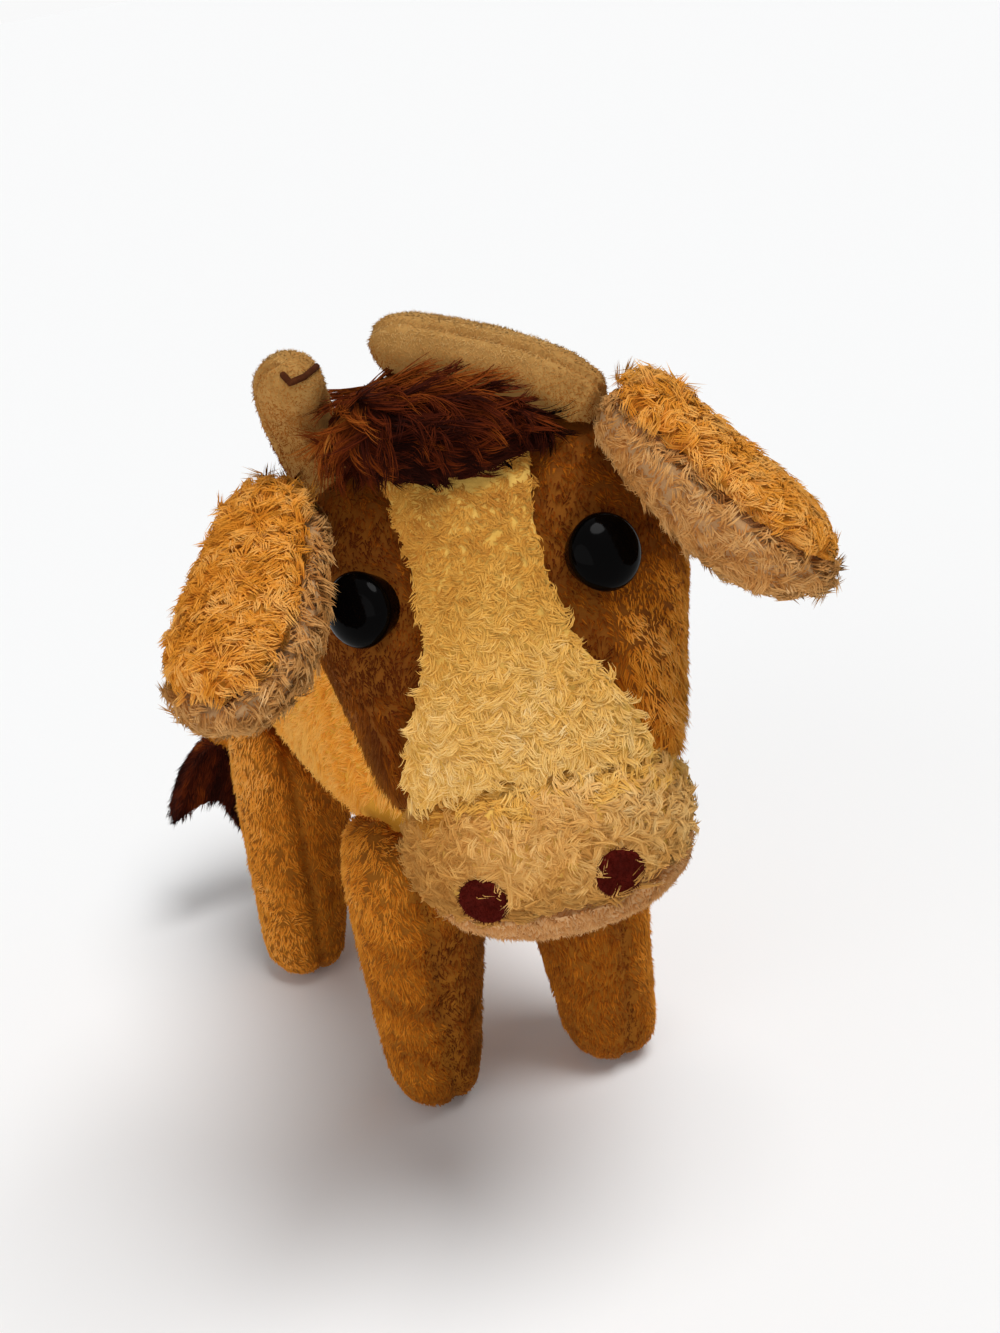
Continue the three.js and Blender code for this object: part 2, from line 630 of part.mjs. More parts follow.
// Tail: straight back out of its seat, then down behind the rump, with the tuft at its end.
const tailGroup = new THREE.Group();
tailGroup.position.copy(tailRoot);
tailGroup.rotation.y = TAIL_LEAN;
figure.add(tailGroup);
const tailBack = TAIL_ROOT_DEPTH + TAIL_STAND_OFF;
const tailCurve = new THREE.CatmullRomCurve3([
  new THREE.Vector3(),
  new THREE.Vector3(0, TAIL_ROOT_DEPTH, 0),
  new THREE.Vector3(0, tailBack, -TAIL_STAND_OFF),
  new THREE.Vector3(0, tailBack, -TAIL_DROP),
]);
function tailTube(grow) {
  return toSolid(taperedTube(tailCurve, () => TAIL_RADIUS, [TAIL_RADIUS / 2, TAIL_RADIUS / 2], grow));
}
addMesh(tailGroup, 'tail', toGeometry(tailTube(0)), plushMaterials.caramel);
const fan = new THREE.Shape();
const fanSide = TUFT_HALF_WIDTH + TUFT_NOTCH / 4;
const fanNotch = TUFT_NOTCH - TUFT_LENGTH;
fan.moveTo(-TAIL_RADIUS, 0);
fan.quadraticCurveTo(0, TAIL_RADIUS / 2, TAIL_RADIUS, 0);
fan.quadraticCurveTo(fanSide, -TUFT_LENGTH / 3, TUFT_HALF_WIDTH, -TUFT_LENGTH);
fan.quadraticCurveTo(TUFT_HALF_WIDTH / 3, fanNotch, 0, fanNotch);
fan.quadraticCurveTo(-TUFT_HALF_WIDTH / 3, fanNotch, -TUFT_HALF_WIDTH, -TUFT_LENGTH);
fan.quadraticCurveTo(-fanSide, -TUFT_LENGTH / 3, -TAIL_RADIUS, 0);
const fanBlock = new THREE.ExtrudeGeometry(fan, {
  depth: TUFT_THICKNESS, bevelEnabled: false, curveSegments: 6, steps: 1,
});
fanBlock.rotateX(Math.PI / 2);
fanBlock.translate(0, tailBack + TUFT_THICKNESS / 2, -TAIL_DROP);
const tailTuft = toSolid(fanBlock).subtract(tailTube(SEAM_GAP));
addMesh(tailGroup, 'tail_tuft', toGeometry(tailTuft), plushMaterials.darkPile);

// The origin lies on the ground, under the middle of the whole toy.
const whole = new THREE.Box3().setFromObject(figure, true);
const middle = whole.getCenter(new THREE.Vector3());
figure.position.set(-middle.x, -middle.y, -whole.min.z);

export default cow;
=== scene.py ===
"""The looks of a stuffed plush cow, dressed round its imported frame. Lengths are in metres."""

from __future__ import annotations

import json
import logging
import math
from dataclasses import dataclass, field, replace
from enum import Enum
from typing import Callable

import bpy
import numpy as np
from mathutils import Matrix, Vector
from mathutils.bvhtree import BVHTree

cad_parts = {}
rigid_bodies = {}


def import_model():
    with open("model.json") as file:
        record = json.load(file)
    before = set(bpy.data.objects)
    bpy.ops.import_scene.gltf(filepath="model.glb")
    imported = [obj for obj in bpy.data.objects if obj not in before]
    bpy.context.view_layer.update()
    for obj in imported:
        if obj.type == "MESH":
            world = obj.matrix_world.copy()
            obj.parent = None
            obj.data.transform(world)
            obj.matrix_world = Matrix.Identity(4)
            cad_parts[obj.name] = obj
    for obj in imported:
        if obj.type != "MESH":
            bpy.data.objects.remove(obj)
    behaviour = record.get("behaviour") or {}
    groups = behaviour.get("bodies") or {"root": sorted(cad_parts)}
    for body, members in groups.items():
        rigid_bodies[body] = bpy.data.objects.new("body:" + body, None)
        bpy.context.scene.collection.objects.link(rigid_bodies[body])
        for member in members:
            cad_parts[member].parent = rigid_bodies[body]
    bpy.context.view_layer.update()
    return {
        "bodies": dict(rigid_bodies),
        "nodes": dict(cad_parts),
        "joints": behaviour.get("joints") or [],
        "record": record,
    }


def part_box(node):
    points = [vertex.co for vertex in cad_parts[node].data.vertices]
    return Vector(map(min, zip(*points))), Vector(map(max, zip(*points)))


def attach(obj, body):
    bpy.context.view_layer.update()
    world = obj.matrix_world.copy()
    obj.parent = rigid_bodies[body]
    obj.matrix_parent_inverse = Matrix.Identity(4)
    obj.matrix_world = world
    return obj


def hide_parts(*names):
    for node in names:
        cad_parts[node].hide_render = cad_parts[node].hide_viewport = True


logging.basicConfig(level=logging.INFO, format="%(message)s")
log = logging.getLogger("plush_cow")

MM = 0.001
SIDES = {"right": -1, "left": 1}
# Each leg's base tone: lit and shaded copies of the one caramel plush, darker on the front legs under the
# head: painted light and shade.
LEG_SHADE_TONES = {"front_right": 0.17, "front_left": 0.31, "rear_right": 0.48, "rear_left": 0.38}

Field = Callable[[np.ndarray], np.ndarray]


def linear(colour: str) -> tuple[float, float, float, float]:
    """Turns a screen colour such as "b87a2a" into scene-linear red, green, blue and alpha.

    Args:
        colour: Six hexadecimal digits.

    Returns:
        The four values that a shader socket takes.
    """
    parts = [int(colour[i : i + 2], 16) / 255 for i in (0, 2, 4)]
    red, green, blue = (c / 12.92 if c <= 0.04045 else ((c + 0.055) / 1.055) ** 2.4 for c in parts)
    return red, green, blue, 1.0


def unit(vectors: np.ndarray) -> np.ndarray:
    """Scales a vector, or each row of an array of them, to length one."""
    return vectors / np.maximum(np.linalg.norm(vectors, axis=-1, keepdims=True), 1e-12)


def even(value: float) -> Field:
    """Makes a field that has the same value everywhere."""
    return lambda points: np.full(len(points), value)


def hill(distance: np.ndarray, reach: float) -> np.ndarray:
    """Gives 1 at distance 0, falling off smoothly over the reach."""
    return np.exp(-((distance / reach) ** 2))


def gap_to(places: np.ndarray, targets: list[np.ndarray]) -> np.ndarray:
    """Gives each place's distance to the nearest of some points."""
    return np.min([np.linalg.norm(places - target, axis=1) for target in targets], 0)


@dataclass(frozen=True)
class Span:
    """A stretch over which a value goes smoothly from 0 to 1."""

    start: float
    end: float

    def __call__(self, values: np.ndarray) -> np.ndarray:
        """Gives 0 before the start and 1 after the end, with a smooth rise between them."""
        share = np.clip((values - self.start) / (self.end - self.start), 0, 1)
        return share * share * (3 - 2 * share)


class Drift:
    """A smooth wandering vector field, which sets how pile strays from its comb."""

    WAVES = 8

    def __init__(self, wavelength: float, seed: int) -> None:
        """Draws the waves of the field.

        Args:
            wavelength: Typical distance between two crests.
            seed: Start of the random numbers.
        """
        source, count = np.random.default_rng(seed), self.WAVES
        self.waves = unit(source.normal(size=(count, 3))) * source.uniform(0.7, 1.6, (count, 1)) / wavelength
        self.phases = source.uniform(0, 2 * np.pi, count)
        self.pushes = source.normal(size=(count, 3)) / 3

    def __call__(self, points: np.ndarray) -> np.ndarray:
        """Gives the field's vector at each point."""
        return np.sin(2 * np.pi * points @ self.waves.T + self.phases) @ self.pushes


def select_only(piece: bpy.types.Object) -> None:
    """Makes one object the only selected and the active one."""
    bpy.ops.object.select_all(action="DESELECT")
    piece.select_set(True)
    bpy.context.view_layer.objects.active = piece


def edit_all(piece: bpy.types.Object, operator: Callable, **settings: object) -> None:
    """Runs one edit-mode operator on the whole of a mesh.

    Args:
        piece: The object to edit.
        operator: The operator from bpy.ops.
        **settings: Its properties.
    """
    select_only(piece)
    bpy.ops.object.mode_set(mode="EDIT")
    bpy.ops.mesh.select_all(action="SELECT")
    operator(**settings)
    bpy.ops.object.mode_set(mode="OBJECT")


def rows_of(piece: bpy.types.Object, attribute: str) -> np.ndarray:
    """Reads a vector of each vertex of a piece as rows."""
    flat = np.zeros(len(piece.data.vertices) * 3, np.float32)
    piece.data.vertices.foreach_get(attribute, flat)
    return flat.reshape(-1, 3).astype(float)


def vertices_of(piece: bpy.types.Object) -> np.ndarray:
    """Gives the vertices of a piece as rows."""
    return rows_of(piece, "co")


def normals_of(piece: bpy.types.Object) -> np.ndarray:
    """Gives the vertex normals of a piece as rows."""
    return rows_of(piece, "normal")


def push_out(piece: bpy.types.Object, lift: np.ndarray) -> None:
    """Moves each vertex of a piece along its normal."""
    set_vertices(piece, vertices_of(piece) + normals_of(piece) * lift[:, None])


def set_vertices(piece: bpy.types.Object, points: np.ndarray) -> None:
    """Writes rows of points back to the vertices of a piece."""
    piece.data.vertices.foreach_set("co", points.astype(np.float32).ravel())
    piece.data.update()


def apply_modifier(piece: bpy.types.Object, kind: str, **settings: object) -> None:
    """Adds a modifier, sets it up and applies it.

    Args:
        piece: The object that gets it.
        kind: Blender's name of the modifier type.
        **settings: Its properties.
    """
    select_only(piece)
    modifier = piece.modifiers.new(kind.lower(), kind)
    for key, value in settings.items():
        setattr(modifier, key, value)
    bpy.ops.object.modifier_apply(modifier=modifier.name)


def centre_of(node: str) -> np.ndarray:
    """Gives the middle of a CAD node's box."""
    low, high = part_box(node)
    return np.array((low + high) / 2)


class Finish:
    """A material made of nodes."""

    def __init__(self, name: str) -> None:
        """Starts a material with one principled shader.

        Args:
            name: Name of the material.
        """
        self.material = bpy.data.materials.new(name)
        self.material.use_nodes = True
        self.tree = self.material.node_tree
        self.shader = self.tree.nodes["Principled BSDF"]

    def set(self, **values: object) -> None:
        """Sets sockets of the shader, named with underscores for spaces."""
        for key, value in values.items():
            self.shader.inputs[key.replace("_", " ")].default_value = value

    def node(self, kind: str, **settings: object) -> bpy.types.Node:
        """Adds a node and sets its properties.

        Args:
            kind: Blender's name of the node type.
            **settings: Properties, or sockets where the name is one of theirs.

        Returns:
            The new node.
        """
        made = self.tree.nodes.new(kind)
        for key, value in settings.items():
            if hasattr(made, key):
                setattr(made, key, value)
            else:
                made.inputs[key.replace("_", " ")].default_value = value
        return made

    def link(self, source: bpy.types.NodeSocket, target: bpy.types.NodeSocket) -> None:
        """Joins two sockets."""
        self.tree.links.new(source, target)

    def shades(self, factor: bpy.types.NodeSocket, colours: tuple[str, ...]) -> bpy.types.NodeSocket:
        """Spreads colours evenly over a factor from 0 to 1.

        Args:
            factor: The socket that picks among them.
            colours: Hexadecimal colours, from 0 to 1.

        Returns:
            The colour socket.
        """
        made = self.node("ShaderNodeValToRGB")
        stops = made.color_ramp.elements
        while len(stops) < len(colours):
            stops.new(0.5)
        for i, colour in enumerate(colours):
            stops[i].position = i / (len(colours) - 1)
            stops[i].color = linear(colour)
        self.link(factor, made.inputs["Fac"])
        return made.outputs["Color"]

    def times(self, first: bpy.types.NodeSocket, second: bpy.types.NodeSocket) -> bpy.types.NodeSocket:
        """Multiplies two colours."""
        made = self.node("ShaderNodeMix", data_type="RGBA", blend_type="MULTIPLY")
        made.inputs[0].default_value = 1.0
        self.link(first, made.inputs[6])
        self.link(second, made.inputs[7])
        return made.outputs[2]

    def noise(self, scale: float, detail: float = 4.0) -> bpy.types.NodeSocket:
        """Makes a noise that is fixed to the piece.

        Args:
            scale: Blotches per metre.
            detail: Octaves of finer noise.

        Returns:
            Its value socket.
        """
        place = self.node("ShaderNodeTexCoord")
        made = self.node("ShaderNodeTexNoise", Scale=scale, Detail=detail)
        self.link(place.outputs["Object"], made.inputs["Vector"])
        return made.outputs["Fac"]

    def bump(self, height: bpy.types.NodeSocket, strength: float, depth: float) -> None:
        """Roughens the surface by a height.

        Args:
            height: Value socket of the height.
            strength: Share of the effect.
            depth: Height of the bumps in metres.
        """
        made = self.node("ShaderNodeBump", Strength=strength, Distance=depth)
        self.link(height, made.inputs["Height"])
        self.link(made.outputs["Normal"], self.shader.inputs["Normal"])


@dataclass(frozen=True)
class PileFinish:
    """Colour of pile: shades from the darkest tuft to the lightest, times a painted shade from the roots,
    darkest, to the tips.
    """

    name: str
    tones: tuple[str, ...]
    # Painted shade at the roots: a multiplier, darkest at the roots and white at the tips.
    root_shade: tuple[str, ...] = ("d6b492", "f0e0cc", "ffffff")
    bloom: str = "ffffff"
    sheen: float = 0.0
    sheen_roughness: float = 0.4
    roughness: float = 0.85
    specular: float = 0.06

    def build(self) -> bpy.types.Material:
        """Makes the material, which reads tone across and length along the pile's own map."""
        finish = Finish(self.name)
        place = finish.node("ShaderNodeUVMap", uv_map=Pelt.MAP)
        parts = finish.node("ShaderNodeSeparateXYZ")
        finish.link(place.outputs["UV"], parts.inputs["Vector"])
        tone = finish.shades(parts.outputs["X"], self.tones)
        length = finish.shades(parts.outputs["Y"], self.root_shade)
        finish.link(finish.times(tone, length), finish.shader.inputs["Base Color"])
        finish.set(Roughness=self.roughness, Specular_IOR_Level=self.specular)
        finish.set(Sheen_Weight=self.sheen, Sheen_Roughness=self.sheen_roughness)
        finish.set(Sheen_Tint=linear(self.bloom))
        return finish.material


@dataclass(frozen=True)
class BackingFinish:
    """Woven backing under the pile, mottled and knitted."""

    name: str
    tones: tuple[str, ...]
    mottle: float = 180.0
    knit: float = 1400.0
    relief: float = 0.3 * MM
    strength: float = 0.6
    roughness: float = 0.95
    specular: float = 0.1

    def build(self) -> bpy.types.Material:
        """Makes the material."""
        finish = Finish(self.name)
        finish.link(finish.shades(finish.noise(self.mottle), self.tones), finish.shader.inputs["Base Color"])
        finish.bump(finish.noise(self.knit, 2.0), self.strength, self.relief)
        finish.set(Roughness=self.roughness, Specular_IOR_Level=self.specular)
        return finish.material


@dataclass(frozen=True)
class GlossFinish:
    """Polished moulded plastic with a faint mottle in its gloss."""

    name: str
    tones: tuple[str, str]
    roughness: float
    specular: float
    mottle: float = 120.0
    uneven: float = 0.3

    def build(self) -> bpy.types.Material:
        """Makes the material."""
        finish = Finish(self.name)
        mottle = finish.noise(self.mottle)
        finish.link(finish.shades(mottle, self.tones), finish.shader.inputs["Base Color"])
        low, high = self.roughness * (1 - self.uneven), self.roughness * (1 + self.uneven)
        spread = finish.node("ShaderNodeMapRange", To_Min=low, To_Max=high)
        finish.link(mottle, spread.inputs["Value"])
        finish.link(spread.outputs["Result"], finish.shader.inputs["Roughness"])
        finish.set(Specular_IOR_Level=self.specular)
        return finish.material


class Coat(Enum):
    """The kinds of pile that the cow wears."""

    CARAMEL = PileFinish(
        "caramel_pile", ("4c1f02", "8a4a0a", "c67c1e", "eca23c", "fcc470"), bloom="e8a048", sheen=0.4
    )
    # A paler, more saturated copy of the caramel plush, worn on the torso: painted light.
    GOLD = PileFinish(
        "lit_caramel_pile", ("6c3404", "a8620c", "e09626", "ffb040", "ffca6c"), bloom="e8a048", sheen=0.4
    )
    CREAM = PileFinish(
        "cream_pile", ("b87c34", "d8a048", "ecba60", "f8d084", "ffe8b8"), ("e8d6b8", "f6ecda", "ffffff")
    )
    CURLS = PileFinish(
        "cream_curls", ("b48040", "d8a258", "ecbc72", "f8d290", "ffeabc"), ("eedcc4", "f8eee0", "ffffff")
    )
    TAN = PileFinish("tan_pile", ("a06c3c", "c4905a", "dcae78", "ecc898"))
    BEIGE = PileFinish("beige_pile", ("966234", "c48e50", "deb074", "f6d8a8"))
    HORN = PileFinish("horn_nap", ("864c14", "ac7434", "c89c5c", "dcbc80"))
    DARK = PileFinish(
        "dark_pile", ("1a0501", "3c1205", "66280a", "964c14", "c07c34"), ("a89888", "e0d4c8", "ffffff")
    )
    MAROON = PileFinish("maroon_nap", ("340602", "4a0b03", "5e1407"))


class Backing(Enum):
    """The kinds of backing under the pile."""

    CARAMEL = BackingFinish("caramel_backing", ("7a4410", "a86a1e", "c0822c"))
    # A paler copy of the caramel backing under the torso's pile: painted light, so that gaps in the pile do
    # not read as dark.
    GOLD = BackingFinish("lit_caramel_backing", ("b4761c", "d0902c", "e0a23c"))
    # Darker copies of the caramel backing under the head's and the legs' pile: painted shade.
    RUSSET = BackingFinish("shaded_head_caramel_backing", ("52280a", "74400e", "8c5416"))
    UMBER = BackingFinish("shaded_leg_caramel_backing", ("66360c", "864f12", "9e631b"))
    CREAM = BackingFinish("cream_backing", ("c8963e", "dcae54", "e8be66"))
    TAN = BackingFinish("tan_backing", ("a87a4c", "c49666", "d4a878"))
    BEIGE = BackingFinish("beige_backing", ("987048", "b48c60", "c4a074"))
    HORN = BackingFinish("horn_felt", ("8c622e", "a87c42", "ba9054"), mottle=260.0, knit=2200.0)
    DARK = BackingFinish("dark_backing", ("180601", "321004", "4a1c08"))
    MAROON = BackingFinish("maroon_felt", ("340702", "480b03", "5a1206"), mottle=500.0, knit=2600.0)
    THREAD = BackingFinish("dark_thread", ("2a1004", "44200c", "5a3014"), mottle=900.0, knit=3000.0)


@dataclass(frozen=True)
class Pile:
    """How pile grows, in tufts of fine strands. Angles are in radians.

    Lean is measured from the skin's normal and grows by bend along a strand, while curl winds it sideways.
    Gather draws the tips of a tuft together, and stray turns a tuft off its comb. Crisp says how far a strand
    is shaded as round rather than as a part of the skin, nod how far a tuft is shaded as turned the way it
    leans, and mottle how far tufts differ in tone.
    """

    spacing: float
    strands: int
    length: float
    width: float
    lean: float
    bend: float
    gather: float = 0.45
    stray: float = 0.4
    rings: int = 1
    curl: float = 0.0
    wobble: float = 0.06
    crisp: float = 0.3
    mottle: float = 0.06
    nod: float = 0.0


@dataclass(frozen=True)
class Groom:
    """How pile is combed, toned and cut at each point.

    Comb is the direction that it is combed, tone its shade from 0, dark, to 1, light, and trim the share of
    its length.
    """

    comb: Field
    tone: Field
    trim: Field = even(1)


@dataclass
class Pelt:
    """Pile grown on a skin as one mesh of closed strands.

    Reach is the room that pile needs in front of the skin. Where a panel has a heading, the way it looks,
    pile at its border turns half to it, and shy says how far skin has to look that way for pile to grow, as a
    cosine.
    """

    name: str
    skin: bpy.types.Object
    pile: Pile
    seed: int
    reach: float = 1.5 * MM
    heading: np.ndarray | None = None
    shy: float = 0.35

    MAP = "pile"
    COLUMNS = 12
    CORNERS = 3
    CANDIDATES = 4.0
    LEAST_TRIM = 0.1
    BORDER_TURN = 0.5
    SINK = 0.06
    TUFT_REACH = 0.85
    LEAN_SPREAD = 0.14
    STRAND_LEAN_SPREAD = 0.08
    BEND_RANGE = (0.7, 1.3)
    CURL_RANGE = (0.5, 1.3)
    NOD_RANGE = (-0.4, 1.0)
    TUFT_LENGTHS = (0.75, 1.2)
    STRAND_LENGTHS = (0.8, 1.1)
    WIDTH_RANGE = (0.8, 1.2)
    GATHER_POWER = 0.8
    TAPER_POWER = 2.2
    TONE_SPREAD = 0.05
    MAP_MARGIN = 0.15
    MAP_SLANT = 0.04

    def __post_init__(self) -> None:
        """Starts the random numbers."""
        self.random = np.random.default_rng(self.seed)

    def roots(self) -> tuple[np.ndarray, np.ndarray]:
        """Scatters one tuft in each cell of a fine grid that the skin passes through.

        Returns:
            The tufts' places and the skin's normals there.
        """
        mesh = self.skin.data
        mesh.calc_loop_triangles()
        corners = np.zeros(len(mesh.loop_triangles) * 3, np.int32)
        mesh.loop_triangles.foreach_get("vertices", corners)
        corners = corners.reshape(-1, 3)
        points, normals = vertices_of(self.skin), normals_of(self.skin)
        a, b, c = (points[corners[:, i]] for i in range(3))
        areas = np.linalg.norm(np.cross(b - a, c - a), axis=1) / 2
        count = int(self.CANDIDATES * areas.sum() / self.pile.spacing**2)
        chosen = self.random.choice(len(areas), count, p=areas / areas.sum())
        shares = self.random.dirichlet((1, 1, 1), count)
        picked = corners[chosen]
        places = (points[picked] * shares[:, :, None]).sum(1)
        outward = unit((normals[picked] * shares[:, :, None]).sum(1))
        cells = np.floor(places / self.pile.spacing).astype(np.int64)
        first = np.sort(np.unique(cells, axis=0, return_index=True)[1])
        return places[first], outward[first]

    def plant(
        self, trim: Field, around: BVHTree, keep: Field | None
    ) -> tuple[np.ndarray, np.ndarray, np.ndarray]:
        """Chooses where tufts grow.

        Args:
            trim: Share of the pile's length at each point; under the least trim, none grows.
            around: The neighbouring solids; no pile grows on a face that lies against one.
            keep: Says which points are grown on; all of them if it is None.

        Returns:
            The tufts' places, normals and shares of the length.
        """
        places, normals = self.roots()
        cut = trim(places)
        wanted = cut > self.LEAST_TRIM
        if keep is not None:
            wanted &= keep(places)
        if self.heading is not None:
            wanted &= normals @ self.heading > self.shy
            normals = unit(normals + self.BORDER_TURN * self.heading)
        for i in np.flatnonzero(wanted):
            hit = around.ray_cast(Vector(places[i]), Vector(normals[i]), self.reach)
            wanted[i] = hit[0] is None
        return places[wanted], normals[wanted], cut[wanted]

    def grow(self, groom: Groom, around: BVHTree, keep: Field | None = None) -> bpy.types.Object:
        """Grows the pile.

        Args:
            groom: How it is combed, toned and cut.
            around: The neighbouring solids.
            keep: Says which points are grown on; all of them if it is left out.

        Returns:
            The pile as an object.
        """
        pile, draw = self.pile, self.random
        places, normals, cut = self.plant(groom.trim, around, keep)
        tufts = len(places)
        flow = groom.comb(places)
        flow = unit(flow - normals * (flow * normals).sum(1, keepdims=True))
        turn = draw.normal(0, pile.stray, (tufts, 1))
        flow = unit(flow * np.cos(turn) + np.cross(normals, flow) * np.sin(turn))
        across = np.cross(normals, flow)
        shade = groom.tone(places) + draw.normal(0, pile.mottle, tufts)
        lean = pile.lean + draw.normal(0, self.LEAN_SPREAD, tufts)
        bend = pile.bend * draw.uniform(*self.BEND_RANGE, tufts) + 1e-3
        curl = pile.curl * draw.choice((-1.0, 1.0), tufts) * draw.uniform(*self.CURL_RANGE, tufts)

        count = tufts * pile.strands
        each = np.repeat(np.arange(tufts), pile.strands)
        normal, flow, across, root = normals[each], flow[each], across[each], places[each]
        sheet = unit(normal + pile.nod * flow * draw.uniform(*self.NOD_RANGE, (tufts, 1))[each])
        angle = draw.uniform(0, 2 * np.pi, (count, 1))
        apart = pile.spacing * self.TUFT_REACH * np.sqrt(draw.uniform(0, 1, (count, 1)))
        offset = apart * (np.cos(angle) * flow + np.sin(angle) * across)
        length = (pile.length * cut * draw.uniform(*self.TUFT_LENGTHS, tufts))[each]
        length = (length * draw.uniform(*self.STRAND_LENGTHS, count))[:, None]
        lean = lean[each, None] + draw.normal(0, self.STRAND_LEAN_SPREAD, (count, 1))
        bend, curl = bend[each, None], curl[each, None]
        waver = draw.normal(0, pile.wobble, (count, 3))
        width = pile.width / 2 * draw.uniform(*self.WIDTH_RANGE, (count, 1))
        roll = draw.uniform(0, 2 * np.pi, (count, 1))

        steps = np.linspace(0, 1, pile.rings + 1)
        turns = roll + 2 * np.pi * np.arange(self.CORNERS) / self.CORNERS
        rows, facing = [], []
        for step in steps:
            here = step if step > 0 else -self.SINK
            tilt, half, wind = lean + bend * here, curl * here / 2, curl * here
            rise = (np.sin(tilt) - np.sin(lean)) / bend
            run = (np.cos(lean) - np.cos(tilt)) / bend
            level = np.cos(half) * flow + np.sin(half) * across
            middle = root + length * (rise * normal + run * level + waver * here * here)
            middle += offset * (1 - pile.gather * max(here, 0) ** self.GATHER_POWER)
            if step == 1:
                rows.append(middle[:, None, :])
                facing.append(unit(sheet + pile.crisp * level)[:, None, :])
                break
            beside = np.cos(wind) * across - np.sin(wind) * flow
            ahead = np.cos(tilt) * normal + np.sin(tilt) * (np.cos(wind) * flow + np.sin(wind) * across)
            other = np.cross(ahead, beside)
            radius = width * (0.75 + 0.5 * step) * (1 - step**self.TAPER_POWER)
            spokes = np.cos(turns)[..., None] * beside[:, None, :]
            spokes = spokes + np.sin(turns)[..., None] * other[:, None, :]
            rows.append(middle[:, None, :] + radius[:, :, None] * spokes)
            facing.append(unit(sheet[:, None, :] + pile.crisp * spokes))
        column = np.clip(shade[each] + draw.normal(0, self.TONE_SPREAD, count), 0, 0.999)
        columns = (column * self.COLUMNS).astype(int)
        return self.join(np.concatenate(rows, 1), np.concatenate(facing, 1), columns, steps)

    def join(
        self, body: np.ndarray, facing: np.ndarray, columns: np.ndarray, steps: np.ndarray
    ) -> bpy.types.Object:
        """Joins the strands' rows of points into one mesh with its map.

        Args:
            body: Points of each strand, ring by ring, the tip last.
            facing: Shading normals of these points, near the skin's own so that the pile reads as soft.
            columns: Each strand's column of tone in the map.
            steps: Share of the length at each ring.

        Returns:
            The object.
        """
        count, each = body.shape[:2]
        sides, tip = self.CORNERS, each - 1
        quads, triangles = [], [[0, i + 1, i] for i in range(1, sides - 1)]
        for ring in range(len(steps) - 2):
            low, high = ring * sides, (ring + 1) * sides
            for i in range(sides):
                j = (i + 1) % sides
                quads.append([low + i, low + j, high + j, high + i])
        last = (len(steps) - 2) * sides
        triangles += [[last + i, last + (i + 1) % sides, tip] for i in range(sides)]
        start = np.arange(count)[:, None] * each
        quad_loops = (start + np.array(quads, int).reshape(1, -1)).ravel()
        triangle_loops = (start + np.array(triangles, int).reshape(1, -1)).ravel()
        loops = np.concatenate([quad_loops, triangle_loops])
        starts = np.concatenate([
            np.arange(0, len(quad_loops), 4),
            len(quad_loops) + np.arange(0, len(triangle_loops), 3),
        ])
        mesh = bpy.data.meshes.new(self.name)
        mesh.vertices.add(count * each)
        mesh.vertices.foreach_set("co", body.astype(np.float32).ravel())
        mesh.loops.add(len(loops))
        mesh.loops.foreach_set("vertex_index", loops.astype(np.int32))
        mesh.polygons.add(len(starts))
        mesh.polygons.foreach_set("loop_start", starts.astype(np.int32))
        mesh.polygons.foreach_set("use_smooth", np.ones(len(starts), bool))
        mesh.update(calc_edges=True)
        along = np.append(np.repeat(steps[:-1], sides), 1.0)
        along[1:sides:2] += self.MAP_SLANT
        spread = np.linspace(self.MAP_MARGIN, 1 - self.MAP_MARGIN, sides)
        spread = np.append(np.tile(spread, len(steps) - 1), 0.5)
        across = (columns[:, None] + spread[None, :]) / self.COLUMNS
        places = np.stack([across, np.broadcast_to(along, across.shape)], -1).reshape(-1, 2)
        layer = mesh.uv_layers.new(name=self.MAP)
        layer.data.foreach_set("uv", places[loops].astype(np.float32).ravel())
        mesh.normals_split_custom_set_from_vertices(facing.reshape(-1, 3).astype(np.float32))
        piece = bpy.data.objects.new(self.name, mesh)
        bpy.context.scene.collection.objects.link(piece)
        faces = count * (2 * len(quads) + len(triangles))
        log.info("%s: %d strands, %d triangles", self.name, count, faces)
        return piece


